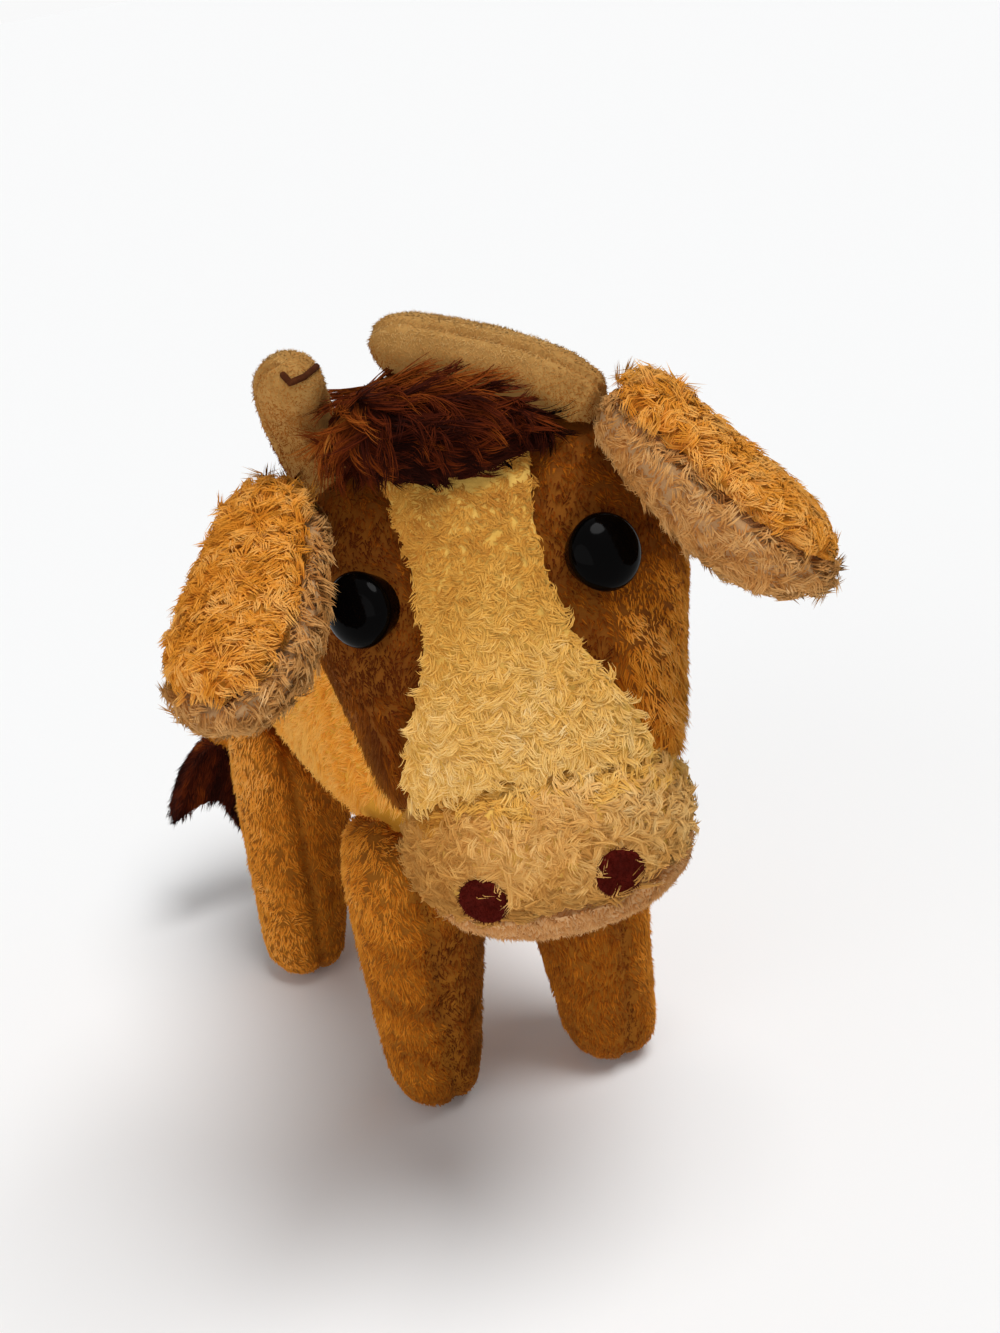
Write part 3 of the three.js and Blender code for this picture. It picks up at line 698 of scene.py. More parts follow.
@dataclass(frozen=True)
class Stuffing:
    """How a stuffed cover is made from its solid."""

    voxel: float
    slack: float = 0.8 * MM
    pressure: float = 60.0
    frames: int = 20
    fill: float = 0.8
    relax: int = 6

    MERGE = 0.01 * MM
    CLOTH_MASS = 0.001

    def cover(self, name: str, node: str, frame: dict) -> bpy.types.Object:
        """Copies a solid, draws it in a little and lets pressure fill it out as cloth.

        Args:
            name: Name of the piece.
            node: The CAD node that it replaces.

        Returns:
            The cover.
        """
        cover = bpy.data.objects.new(name, frame["nodes"][node].data.copy())
        bpy.context.scene.collection.objects.link(cover)
        edit_all(cover, bpy.ops.mesh.remove_doubles, threshold=self.MERGE)
        cover.data.materials.clear()
        apply_modifier(cover, "REMESH", mode="VOXEL", voxel_size=self.voxel, use_smooth_shade=True)
        apply_modifier(cover, "SMOOTH", factor=0.5, iterations=self.relax)
        edit_all(cover, bpy.ops.transform.shrink_fatten, value=-self.slack)
        self.inflate(cover)
        apply_modifier(cover, "SUBSURF", levels=1, render_levels=1)
        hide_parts(node)
        return cover

    def inflate(self, cover: bpy.types.Object) -> None:
        """Runs the cloth under pressure and keeps each point within the slack of its start."""
        start = vertices_of(cover)
        select_only(cover)
        cloth = cover.modifiers.new("cloth", "CLOTH")
        cloth.settings.use_pressure = True
        cloth.settings.uniform_pressure_force = self.pressure
        cloth.settings.mass = self.CLOTH_MASS
        cloth.settings.effector_weights.gravity = 0
        cloth.collision_settings.use_collision = False
        cloth.point_cache.frame_start = 1
        cloth.point_cache.frame_end = self.frames
        for number in range(1, self.frames + 1):
            bpy.context.scene.frame_set(number)
        bpy.ops.object.modifier_apply(modifier="cloth")
        bpy.context.scene.frame_set(1)
        moved = vertices_of(cover) - start
        far = np.linalg.norm(moved, axis=1, keepdims=True)
        set_vertices(cover, start + moved * np.minimum(1, self.slack / np.maximum(far, 1e-9)))


@dataclass(frozen=True)
class Seat:
    """Where a dressed piece belongs: its CAD node, the body it rides on and its slot in the record."""

    node: str
    body: str
    slot: str


class Workshop:
    """What every sub-assembly shares: the frame, the finishes and the neighbouring solids."""

    def __init__(self, frame: dict) -> None:
        """Builds the materials.
        """
        self.frame = frame
        self.finishes = {kind: kind.value.build() for kinds in (Coat, Backing) for kind in kinds}
        self.joints = {joint["name"]: np.array(joint["pos_m"]) for joint in frame["joints"]}

    def around(self, *own: str) -> BVHTree:
        """Gives the CAD solids without some nodes, to test what lies against them.

        Args:
            *own: The nodes to leave out.

        Returns:
            A tree to cast rays at.
        """
        points: list[np.ndarray] = []
        corners: list[list[int]] = []
        total = 0
        for name, node in self.frame["nodes"].items():
            if name not in own:
                points.append(vertices_of(node))
                corners += [[total + i for i in face.vertices] for face in node.data.polygons]
                total += len(node.data.vertices)
        return BVHTree.FromPolygons(np.concatenate(points).tolist(), corners)

    def dress(self, piece: bpy.types.Object, finish: Coat | Backing, seat: Seat) -> None:
        """Gives a piece its finish and its body.

        Args:
            piece: The piece.
            finish: Which coat or backing it wears.
            seat: Where it belongs.
        """
        piece.data.materials.clear()
        piece.data.materials.append(self.finishes[finish])
        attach(piece, seat.body)
        log.info("%s rides on %s", piece.name, seat.body)

    def cover(self, stuffing: Stuffing, kind: str, backing: Backing, seat: Seat) -> bpy.types.Object:
        """Makes a node's cover and dresses it.

        Args:
            stuffing: How it is made.
            kind: The last word of its name.
            backing: Which backing it wears.
            seat: Where it belongs.

        Returns:
            The cover.
        """
        cover = stuffing.cover(f"{seat.node}_{kind}", seat.node, self.frame)
        self.dress(cover, backing, seat)
        return cover

    def fur(self, pelt: Pelt, groom: Groom, coat: Coat, seat: Seat, keep: Field | None = None) -> None:
        """Grows pile on a node's cover and dresses it.

        Args:
            pelt: The pile's name, skin and kind.
            groom: How it is combed, toned and cut.
            coat: Which coat it wears.
            seat: Where it belongs.
            keep: Says which points are grown on; all of them if it is left out.
        """
        self.dress(pelt.grow(groom, self.around(seat.node), keep), coat, seat)

    def halves(self, pelt: Pelt, groom: Groom, coat: Coat, seat: Seat, across: Field) -> None:
        """Grows pile in a right and a left half, each from its own seed.

        Args:
            pelt: The pile, named without a side.
            groom: How it is combed, toned and cut.
            coat: Which coat it wears.
            seat: Where it belongs.
            across: Distance of a point to the cow's left of the middle.
        """
        for number, (side, sign) in enumerate(SIDES.items()):
            half = replace(pelt, name=f"{pelt.name}_{side}", seed=pelt.seed + number)
            self.fur(half, groom, coat, seat, lambda places: sign * across(places) > 0)


@dataclass
class HeadPose:
    """How the head stands on the neck, and places measured along it."""

    neck: np.ndarray
    turn: float = math.radians(-27)
    tilt: float = math.radians(-5.2)
    slope: float = math.radians(64)
    poll: tuple[float, float, float] = (3.9 * MM, 4 * MM, 51 * MM)

    def __post_init__(self) -> None:
        """Works out the head's axes in the row frame."""
        turned = np.array(Matrix.Rotation(self.turn, 3, "Z") @ Matrix.Rotation(self.tilt, 3, "Y"))
        self.side = turned[:, 0]
        self.along = turned @ np.array([0, -math.cos(self.slope), -math.sin(self.slope)])
        self.front = turned @ np.array([0, -math.sin(self.slope), math.cos(self.slope)])
        self.crown = self.neck + turned @ np.array(self.poll)

    def station(self, points: np.ndarray) -> np.ndarray:
        """Gives each point's distance down the face from the poll."""
        return (points - self.crown) @ self.along

    def lateral(self, points: np.ndarray) -> np.ndarray:
        """Gives each point's distance to the cow's left of the middle of the face."""
        return (points - self.crown) @ self.side

    def depth(self, points: np.ndarray) -> np.ndarray:
        """Gives each point's distance in front of the head's axis."""
        return (points - self.crown) @ self.front


@dataclass
class Body:
    """The stuffed torso and its pile, which is combed back and down."""

    shop: Workshop
    stuffing: Stuffing = Stuffing(3.0 * MM, pressure=80.0)
    pile: Pile = Pile(
        spacing=1.65 * MM, strands=7, length=2.5 * MM, width=0.53 * MM,
        lean=1.05, bend=0.3, gather=0.5, stray=0.45, crisp=0.25, nod=0.2,
    )
    way: tuple[float, float, float] = (0.0, 0.7, -0.7)
    swirl: float = 14 * MM
    crease: float = 3.5 * MM

    def build(self) -> None:
        """Makes the cover and grows its pile in two halves."""
        seat = Seat("torso", "torso", "caramel_plush")
        cover = self.shop.cover(self.stuffing, "cover", Backing.GOLD, seat)
        swirl, crease = Drift(self.swirl, seed=3), Drift(self.crease, seed=4)
        low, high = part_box("torso")
        height, middle = Span(low[2], high[2]), centre_of("torso")[0]
        comb = lambda places: np.array(self.way) + 0.6 * swirl(places) + 0.3 * crease(places)
        # Painted light: the pile is paler towards the top of the torso, where the light falls.
        tone = lambda places: (
            0.84 + 0.1 * height(places[:, 2]) + 0.08 * swirl(places)[:, 0] + 0.05 * crease(places)[:, 1]
        )
        pelt = Pelt("torso_pile", cover, self.pile, seed=11)
        self.shop.halves(pelt, Groom(comb, tone), Coat.GOLD, seat, lambda places: places[:, 0] - middle)


@dataclass
class Leg:
    """One stuffed leg with the seam down its front, painted paler on its outer side and at its upper end,
    where light falls.
    """

    shop: Workshop
    place: str
    number: int
    tone: float
    stuffing: Stuffing = Stuffing(2.6 * MM, pressure=80.0)
    pile: Pile = Pile(
        spacing=1.55 * MM, strands=7, length=1.6 * MM, width=0.43 * MM,
        lean=1.15, bend=0.2, gather=0.3, stray=0.3, crisp=0.25, nod=0.15,
    )
    swirl: float = 12 * MM
    seam_width: float = 1.3 * MM
    seam_depth: float = 0.9 * MM
    edge: Span = Span(-2 * MM, 11 * MM)
    sole: Span = Span(0, 1.2 * MM)
    foot: Span = Span(4 * MM, 24 * MM)

    def build(self) -> None:
        """Makes the cover, grooves the seam and grows the pile."""
        seat = Seat(f"leg_{self.place}", "torso", "caramel_plush")
        cover = self.shop.cover(self.stuffing, "cover", Backing.UMBER, seat)
        points = vertices_of(cover)
        heights = points[:, 2]
        low = points[heights < np.quantile(heights, 0.25)].mean(0)
        high = points[heights > np.quantile(heights, 0.75)].mean(0)

        def seam(places: np.ndarray) -> np.ndarray:
            """Gives 1 on the seam down the front of the leg and 0 away from it."""
            share = (places[:, 2] - low[2]) / (high[2] - low[2])
            middle = low + share[:, None] * (high - low)
            front = places[:, 1] < middle[:, 1]
            return hill(places[:, 0] - middle[:, 0], self.seam_width) * front

        push_out(cover, -self.seam_depth * seam(points))
        swirl = Drift(self.swirl, seed=20 + self.number)
        axis, outer = unit(high - low), SIDES[self.place.split("_")[1]]
        upper = Span((low[2] + high[2]) / 2, high[2])
        comb = lambda places: -axis + 0.45 * swirl(places)
        # Painted light and shade: paler on the outer side and at the upper end, darker on the inner side
        # between the legs.
        pale = lambda places: 0.3 * self.edge(outer * (places[:, 0] - low[0])) + 0.22 * upper(places[:, 2])
        tone = lambda places: self.tone + pale(places) + 0.06 * swirl(places)[:, 0] - 0.3 * seam(places)
        trim = lambda places: (
            (1 - 0.65 * seam(places)) * self.sole(places[:, 2]) * (0.65 + 0.35 * self.foot(places[:, 2]))
        )
        pelt = Pelt(f"{seat.node}_pile", cover, self.pile, seed=30 + self.number)
        self.shop.fur(pelt, Groom(comb, tone, trim), Coat.CARAMEL, seat)


@dataclass
class Head:
    """The stuffed head behind the face, with short pile on its sides, darkened with painted shade, and
    longer, paler pile behind.
    """

    shop: Workshop
    pose: HeadPose
    stuffing: Stuffing = Stuffing(2.4 * MM, pressure=60.0)
    pile: Pile = Pile(
        spacing=1.4 * MM, strands=7, length=2.6 * MM, width=0.46 * MM,
        lean=1.1, bend=0.2, gather=0.35, stray=0.4, crisp=0.25, nod=0.15,
    )
    swirl: float = 13 * MM
    socket_depth: float = 0.6 * MM
    socket_reach: float = 10 * MM
    eye_shade_reach: float = 15 * MM
    face: Span = Span(-36 * MM, -20 * MM)
    behind: Span = Span(-32 * MM, -48 * MM)
    brow: Span = Span(24 * MM, 10 * MM)
    lower: Span = Span(31 * MM, 52 * MM)
    jaw: Span = Span(50 * MM, 64 * MM)
    left_cheek: Span = Span(16 * MM, 23 * MM)
    right_cheek: Span = Span(-10 * MM, -24 * MM)
    streak_place: float = 16 * MM
    streak_width: float = 4 * MM
    turns: tuple[float, ...] = (math.radians(18), math.radians(36), math.radians(54))
    brushing: Span = Span(5 * MM, 1.5 * MM)

    def build(self) -> None:
        """Makes the cover with its eye sockets and grows its pile in two halves."""
        seat = Seat("head", "head", "caramel_plush")
        cover = self.shop.cover(self.stuffing, "cover", Backing.RUSSET, seat)
        eyes = [centre_of(f"eye_{side}") for side in SIDES]
        push_out(cover, -self.socket_depth * hill(gap_to(vertices_of(cover), eyes), self.socket_reach))
        pose, swirl = self.pose, Drift(self.swirl, seed=5)
        face = lambda places: self.face(pose.depth(places))
        eye_shade = lambda places: hill(gap_to(places, eyes), self.eye_shade_reach)
        comb = lambda places: pose.along + 0.45 * swirl(places)
        # Painted shade: the front of the head is darker than behind and darker still round the eyes; light()
        # adds painted light and shade on the cheeks and brow.
        tone = lambda places: (
            0.52 - 0.24 * face(places) - 0.2 * eye_shade(places) + self.light(places) + 0.08 * swirl(places)[:, 0]
        )
        sides = lambda places: face(places) * (0.5 - 0.6 * self.jaw(pose.station(places)))
        trim = lambda places: (
            (1 - 0.15 * eye_shade(places) - sides(places)) * (1 - 0.8 * self.passing(places))
        )
        pelt = Pelt("head_pile", cover, self.pile, seed=51)
        self.shop.halves(pelt, Groom(comb, tone, trim), Coat.CARAMEL, seat, pose.lateral)

    def light(self, places: np.ndarray) -> np.ndarray:
        """Gives painted light and shade on the face, paler on the left cheek and a streak on the brow and
        darker on the right cheek, and the plush's own paler tone behind the face.
        """
        across, down = self.pose.lateral(places), self.pose.station(places)
        streak = hill(across - self.streak_place, self.streak_width) * self.brow(down)
        cheeks = (0.04 + 0.44 * self.lower(down)) * self.left_cheek(across) - 0.16 * self.right_cheek(across)
        return cheeks + (0.3 - cheeks) * self.behind(self.pose.depth(places)) + 0.2 * streak

    def passing(self, places: np.ndarray) -> np.ndarray:
        """Gives how near the torso a point comes as the head turns, from 0 to 1."""
        torso = self.shop.around(*(name for name in self.shop.frame["nodes"] if name != "torso"))
        nearest = np.full(len(places), 1.0)
        for turn in self.turns:
            spin = np.array(Matrix.Rotation(turn, 3, "Z"))
            moved = (places - self.pose.neck) @ spin.T + self.pose.neck
            nearest = np.minimum(nearest, [torso.find_nearest(Vector(place))[3] for place in moved])
        return self.brushing(nearest)


@dataclass
class Face:
    """Blaze, muzzle, chin, nostrils and eyes."""

    shop: Workshop
    pose: HeadPose
    panel: Stuffing = Stuffing(1.3 * MM, slack=0.5 * MM, pressure=40.0, fill=0.6, relax=3)
    cap: Stuffing = Stuffing(2.0 * MM, pressure=60.0)
    felt: Stuffing = Stuffing(0.35 * MM, slack=0.05 * MM, pressure=0.0, relax=2)
    nappy: Pile = Pile(
        spacing=1.15 * MM, strands=9, length=2.1 * MM, width=0.27 * MM, lean=0.85, bend=1.3,
        gather=0.45, stray=1.0, rings=3, curl=1.6, mottle=0.05, nod=0.3,
    )
    locks: Pile = Pile(
        spacing=1.2 * MM, strands=10, length=3.4 * MM, width=0.31 * MM, lean=0.5, bend=1.9,
        gather=0.65, stray=1.3, rings=3, curl=2.0, crisp=0.2, mottle=0.06, nod=0.3,
    )
    lip: Pile = Pile(
        spacing=1.35 * MM, strands=8, length=1.5 * MM, width=0.4 * MM,
        lean=1.0, bend=0.4, gather=0.3, stray=0.4, crisp=0.25,
    )
    nap: Pile = Pile(
        spacing=0.55 * MM, strands=2, length=0.7 * MM, width=0.24 * MM,
        lean=0.4, bend=0.6, gather=0.2, stray=1.5,
    )
    close: float = 0.4 * MM
    blaze_swirl: float = 9 * MM
    blaze_curls: Span = Span(22 * MM, 66 * MM)
    muzzle_swirl: float = 10 * MM
    muzzle_seam: Span = Span(8 * MM, 2 * MM)
    # Painted shade on the cow's right side of the muzzle.
    muzzle_shade: Span = Span(-2 * MM, -20 * MM)
    crown_width: float = 8 * MM
    crown_ragged: float = 3 * MM
    hole: Span = Span(2.4 * MM, 4.0 * MM)
    rim_place: float = 5 * MM
    rim_width: float = 1.8 * MM
    drape_place: float = 4.6 * MM
    drape_width: float = 2 * MM
    chin_swirl: float = 9 * MM
    stem: tuple[tuple[float, float], ...] = ((0.9 * MM, 0.97), (3.6 * MM, 0.8))
    dome_edge: float = math.radians(50)

    def __post_init__(self) -> None:
        """Makes the eyes' finish and the one of the washers inside."""
        self.eye_finish = GlossFinish("eye_gloss", ("010101", "040303"), 0.1, 0.03).build()
        washer = GlossFinish("washer_plastic", ("d8d6ce", "e8e6e0"), 0.5, 0.4).build()
        for side in SIDES:
            node = self.shop.frame["nodes"][f"eye_washer_{side}"]
            node.data.materials.clear()
            node.data.materials.append(washer)

    def build(self) -> None:
        """Makes each piece of the face."""
        self.build_blaze()
        self.build_muzzle()
        self.build_chin()
        for seed, side in enumerate(SIDES, 90):
            self.build_nostril(side, seed)
            self.build_eye(side)

    def build_blaze(self) -> None:
        """Makes the cream panel down the face: short pile above, curling towards the muzzle."""
        seat = Seat("blaze", "head", "cream_plush")
        cover = self.shop.cover(self.panel, "cover", Backing.CREAM, seat)
        pose, swirl = self.pose, Drift(self.blaze_swirl, seed=7)
        lower = lambda places: self.blaze_curls(pose.station(places))
        comb = lambda places: pose.along + 0.5 * swirl(places)
        tone = lambda places: 0.14 + 0.54 * lower(places) + 0.08 * swirl(places)[:, 0]
        trim = lambda places: 0.7 + 0.75 * lower(places)
        pelt = Pelt("blaze_pile", cover, self.nappy, seed=61, reach=self.close, heading=pose.front)
        self.shop.halves(pelt, Groom(comb, tone, trim), Coat.CREAM, seat, pose.lateral)

    def build_muzzle(self) -> None:
        """Makes the muzzle cap with its curls."""
        seat = Seat("muzzle", "head", "cream_plush")
        cover = self.shop.cover(self.cap, "cover", Backing.CREAM, seat)
        pose, swirl = self.pose, Drift(self.muzzle_swirl, seed=8)
        holes = [centre_of(f"nostril_{side}") for side in SIDES]
        start = pose.station(vertices_of(cover)).min()
        low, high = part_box("muzzle")
        under = Span(0.55 * high[2] + 0.45 * low[2], low[2])
        below = lambda places: pose.station(places) - start
        upper = lambda places: self.muzzle_seam(below(places))

        def clear(places: np.ndarray) -> np.ndarray:
            """Gives 0 on a nostril, 1 away from it, and more at its rim and along the upper seam."""
            nearest = gap_to(places, holes)
            rim = hill(nearest - self.rim_place, self.rim_width)
            return self.hole(nearest) * (1 + 0.7 * upper(places) + 0.7 * rim)

        def drape(places: np.ndarray) -> np.ndarray:
            """Gives the way that curls beside a nostril hang over its border."""
            ways = [hole - places for hole in holes]
            gaps = [np.linalg.norm(way, axis=1) - self.drape_place for way in ways]
            return sum(hill(gap, self.drape_width)[:, None] * unit(way) for gap, way in zip(gaps, ways))

        def crown(places: np.ndarray) -> np.ndarray:
            """Says where the muzzle is still as golden as the blaze, with a ragged border."""
            return below(places) + self.crown_ragged * swirl(places)[:, 1] < self.crown_width

        comb = lambda places: pose.along + 0.8 * swirl(places) + 4 * drape(places)
        # Painted shade: darker towards the muzzle's underside and on the cow's right side of it.
        tone = lambda places: (
            0.5
            + 0.12 * upper(places)
            + 0.1 * swirl(places)[:, 0]
            - 0.42 * under(places[:, 2])
            - 0.4 * self.muzzle_shade(pose.lateral(places))
        )
        ahead, above = unit(pose.along + 0.6 * pose.front), unit(pose.front + 0.6 * pose.along)
        for part, coat, heading, shy, keep in (
            ("crown", Coat.CREAM, above, -0.3, crown),
            ("right", Coat.CURLS, ahead, -0.35, lambda places: ~crown(places) & (pose.lateral(places) < 0)),
            ("left", Coat.CURLS, ahead, -0.35, lambda places: ~crown(places) & (pose.lateral(places) >= 0)),
        ):
            pelt = Pelt(f"muzzle_pile_{part}", cover, self.locks, 71, self.close, heading, shy)
            self.shop.fur(pelt, Groom(comb, tone, clear), coat, seat, keep)

    def build_chin(self) -> None:
        """Makes the smooth under-lip."""
        seat = Seat("chin", "head", "tan_plush")
        cover = self.shop.cover(self.cap, "cover", Backing.TAN, seat)
        swirl = Drift(self.chin_swirl, seed=9)
        comb = lambda places: self.pose.along - self.pose.front + 0.4 * swirl(places)
        tone = lambda places: 0.5 + 0.15 * swirl(places)[:, 0]
        self.shop.fur(Pelt("chin_pile", cover, self.lip, seed=81), Groom(comb, tone), Coat.TAN, seat)

    def build_nostril(self, side: str, seed: int) -> None:
        """Makes one felt nostril disc.

        Args:
            side: The cow's side.
            seed: Start of the random numbers.
        """
        seat = Seat(f"nostril_{side}", "head", "nostril_felt")
        cover = self.shop.cover(self.felt, "felt", Backing.MAROON, seat)
        groom = Groom(lambda places: self.pose.along + 0 * places, even(0.5))
        self.shop.fur(Pelt(f"{seat.node}_nap", cover, self.nap, seed), groom, Coat.MAROON, seat)

    def eye_seat(self, node: str) -> tuple[np.ndarray, np.ndarray, float, float]:
        """Measures an eye's solid.

        Args:
            node: Its CAD node.

        Returns:
            The middle of the dome's base, the way that it looks, its radius and its height.
        """
        points = vertices_of(self.shop.frame["nodes"][node])
        mean = points.mean(0)
        values, ways = np.linalg.eigh(np.cov((points - mean).T))
        gaps = np.abs(np.diff(values))
        axis = ways[:, 2] if gaps[1] > gaps[0] else ways[:, 0]
        axis = axis if axis @ (centre_of(node) - centre_of("head")) > 0 else -axis
        radial = np.linalg.norm(np.cross(points - mean, axis), axis=1)
        along = points @ axis
        seat = along[radial > 0.9 * radial.max()].max()
        return mean + axis * (seat - mean @ axis), axis, radial.max(), along.max() - seat

    def build_eye(self, side: str) -> None:
        """Makes one polished eye dome on a stem that goes into the head.

        Args:
            side: The cow's side.
        """
        node = f"eye_{side}"
        base, axis, radius, height = self.eye_seat(node)
        bpy.ops.object.select_all(action="DESELECT")
        bpy.ops.mesh.primitive_uv_sphere_add(segments=48, ring_count=32, radius=1)
        dome = bpy.context.active_object
        dome.name = f"{node}_dome"
        edit_all(dome, bpy.ops.mesh.bisect, plane_co=(0, 0, 0), plane_no=(0, 0, 1), clear_inner=True)
        edit_all(dome, bpy.ops.transform.resize, value=(radius, radius, height), center_override=(0, 0, 0))
        bpy.ops.object.mode_set(mode="EDIT")
        bpy.ops.mesh.select_all(action="DESELECT")
        bpy.ops.mesh.select_non_manifold()
        for depth, taper in self.stem:
            bpy.ops.mesh.extrude_region_move(TRANSFORM_OT_translate={"value": (0, 0, -depth)})
            bpy.ops.transform.resize(value=(taper, taper, 1))
        bpy.ops.mesh.edge_face_add()
        bpy.ops.object.mode_set(mode="OBJECT")
        edit_all(dome, bpy.ops.mesh.normals_make_consistent, inside=False)
        place = Vector(axis).to_track_quat("Z", "Y").to_matrix().to_4x4()
        place.translation = Vector(base)
        dome.data.transform(place)
        bpy.ops.object.shade_smooth_by_angle(angle=self.dome_edge)
        dome.data.materials.append(self.eye_finish)
        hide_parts(node)
        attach(dome, "head")
        log.info("%s rides on head", dome.name)


@dataclass
class Horn:
    """One stuffed felt horn, with the groove of its seam along it."""

    shop: Workshop
    pose: HeadPose
    side: str
    seed: int
    seam: np.ndarray
    stuffing: Stuffing = Stuffing(0.9 * MM, slack=0.4 * MM, pressure=60.0, fill=0.9, relax=8)
    nap: Pile = Pile(
        spacing=0.62 * MM, strands=2, length=0.75 * MM, width=0.22 * MM,
        lean=0.8, bend=0.5, gather=0.2, stray=1.2,
    )
    swirl: float = 6 * MM
    lip_height: float = 0.35 * MM
    lip_place: float = 1.3 * MM
    lip_width: float = 0.9 * MM
    groove_depth: float = 0.8 * MM
    groove_width: float = 0.55 * MM
    facing_up: Span = Span(-0.5, 0.7)

    def build(self) -> bpy.types.Object:
        """Makes the horn, sinks its seam and grows its nap.

        Returns:
            The felt cover.
        """
        seat = Seat(f"horn_{self.side}", "head", "horn_felt")
        cover = self.shop.cover(self.stuffing, "felt", Backing.HORN, seat)
        points = vertices_of(cover)
        arc = self.profile(points, points)[0]
        lift = self.lip_height * hill(arc - self.lip_place, self.lip_width)
        push_out(cover, lift - self.groove_depth * hill(arc, self.groove_width))
        swirl = Drift(self.swirl, self.seed)
        foot, top = points[:, 2].min(), points[:, 2].max()
        height = Span(0.8 * foot + 0.2 * top, 0.2 * foot + 0.8 * top)
        comb = lambda places: self.pose.along + swirl(places)

        def tone(places: np.ndarray) -> np.ndarray:
            """Gives the felt's tone: painted light and shade, paler above and where the felt looks up,
            ruddier below and at the root, and darker in the seam's groove.
            """
            seam, rise = self.profile(points, places)
            # Painted light: paler towards the top and where the felt looks up, darker below.
            pale = 0.45 * height(places[:, 2]) + 0.45 * self.facing_up(rise)
            return 0.02 + pale + 0.14 * swirl(places)[:, 0] - 0.4 * hill(seam, self.groove_width)

        pelt = Pelt(f"{seat.node}_nap", cover, self.nap, self.seed)
        self.shop.fur(pelt, Groom(comb, tone), Coat.HORN, seat)
        return cover

    def profile(self, points: np.ndarray, places: np.ndarray) -> tuple[np.ndarray, np.ndarray]:
        """Measures round the horn, with a bent middle line fitted to it.

        Args:
            points: The horn's vertices.
            places: Where to measure.

        Returns:
            The distance of each place from the seam, and how far it looks up, from -1 to 1.
        """
        mean = points.mean(0)
        main = np.linalg.eigh(np.cov((points - mean).T))[1][:, 2]
        along = (points - mean) @ main
        fit = np.polyfit(along, points - mean, 2)
        share = ((places - mean) @ main)[:, None]
        outward = places - mean - fit[0] * share**2 - fit[1] * share - fit[2]
        axis = unit(2 * fit[0] * share + fit[1])
        level = self.seam - axis * (axis @ self.seam)[:, None]
        angle = np.arccos(np.clip((unit(outward) * unit(level)).sum(1), -1, 1))
        return np.linalg.norm(outward, axis=1) * angle, unit(outward)[:, 2]


@dataclass
class Stitch:
    """A bar of dark thread sewn into a horn's felt, laid on it as the photograph shows.

    Its corners are places in the photograph, in pixels from the left and upper edges.
    """

    shop: Workshop
    studio: Studio
    corners: tuple[tuple[float, float], ...] = ((283, 375), (290, 383), (304, 377), (316, 367))
    radius: float = 0.55 * MM
    proud: float = 0.1 * MM
    steps: int = 6

    def build(self, felt: bpy.types.Object) -> None:
        """Casts the thread's line on the felt and makes it a tube whose ends go in.

        Args:
            felt: The horn's cover.
        """
        faces = [list(face.vertices) for face in felt.data.polygons]
        tree = BVHTree.FromPolygons(vertices_of(felt).tolist(), faces)
        path: list[Vector] = []
        pairs = list(zip(self.corners, self.corners[1:]))
        for number, (start, end) in enumerate(pairs):
            last = number == len(pairs) - 1
            for step in range(self.steps + last):
                share = step / self.steps
                across, down = (a + share * (b - a) for a, b in zip(start, end))
                place, normal, _, _ = tree.ray_cast(*self.studio.ray(across, down))
                if place is not None:
                    path.append(place + normal * self.proud)
        inward = self.studio.ray(*self.corners[0])[1] * 2 * self.radius
        path = [path[0] + inward] + path + [path[-1] + inward]
        curve = bpy.data.curves.new("horn_stitch", "CURVE")
        curve.dimensions = "3D"
        curve.bevel_depth, curve.bevel_resolution, curve.use_fill_caps = self.radius, 2, True
        line = curve.splines.new("POLY")
        line.points.add(len(path) - 1)
        for point, place in zip(line.points, path):
            point.co = (*place, 1)
        thread = bpy.data.objects.new("horn_stitch", curve)
        bpy.context.scene.collection.objects.link(thread)
        select_only(thread)
        bpy.ops.object.convert(target="MESH")
        thread = bpy.context.active_object
        bpy.ops.object.shade_smooth()
        self.shop.dress(thread, Backing.THREAD, Seat("horn_right", "head", "dark_pile"))


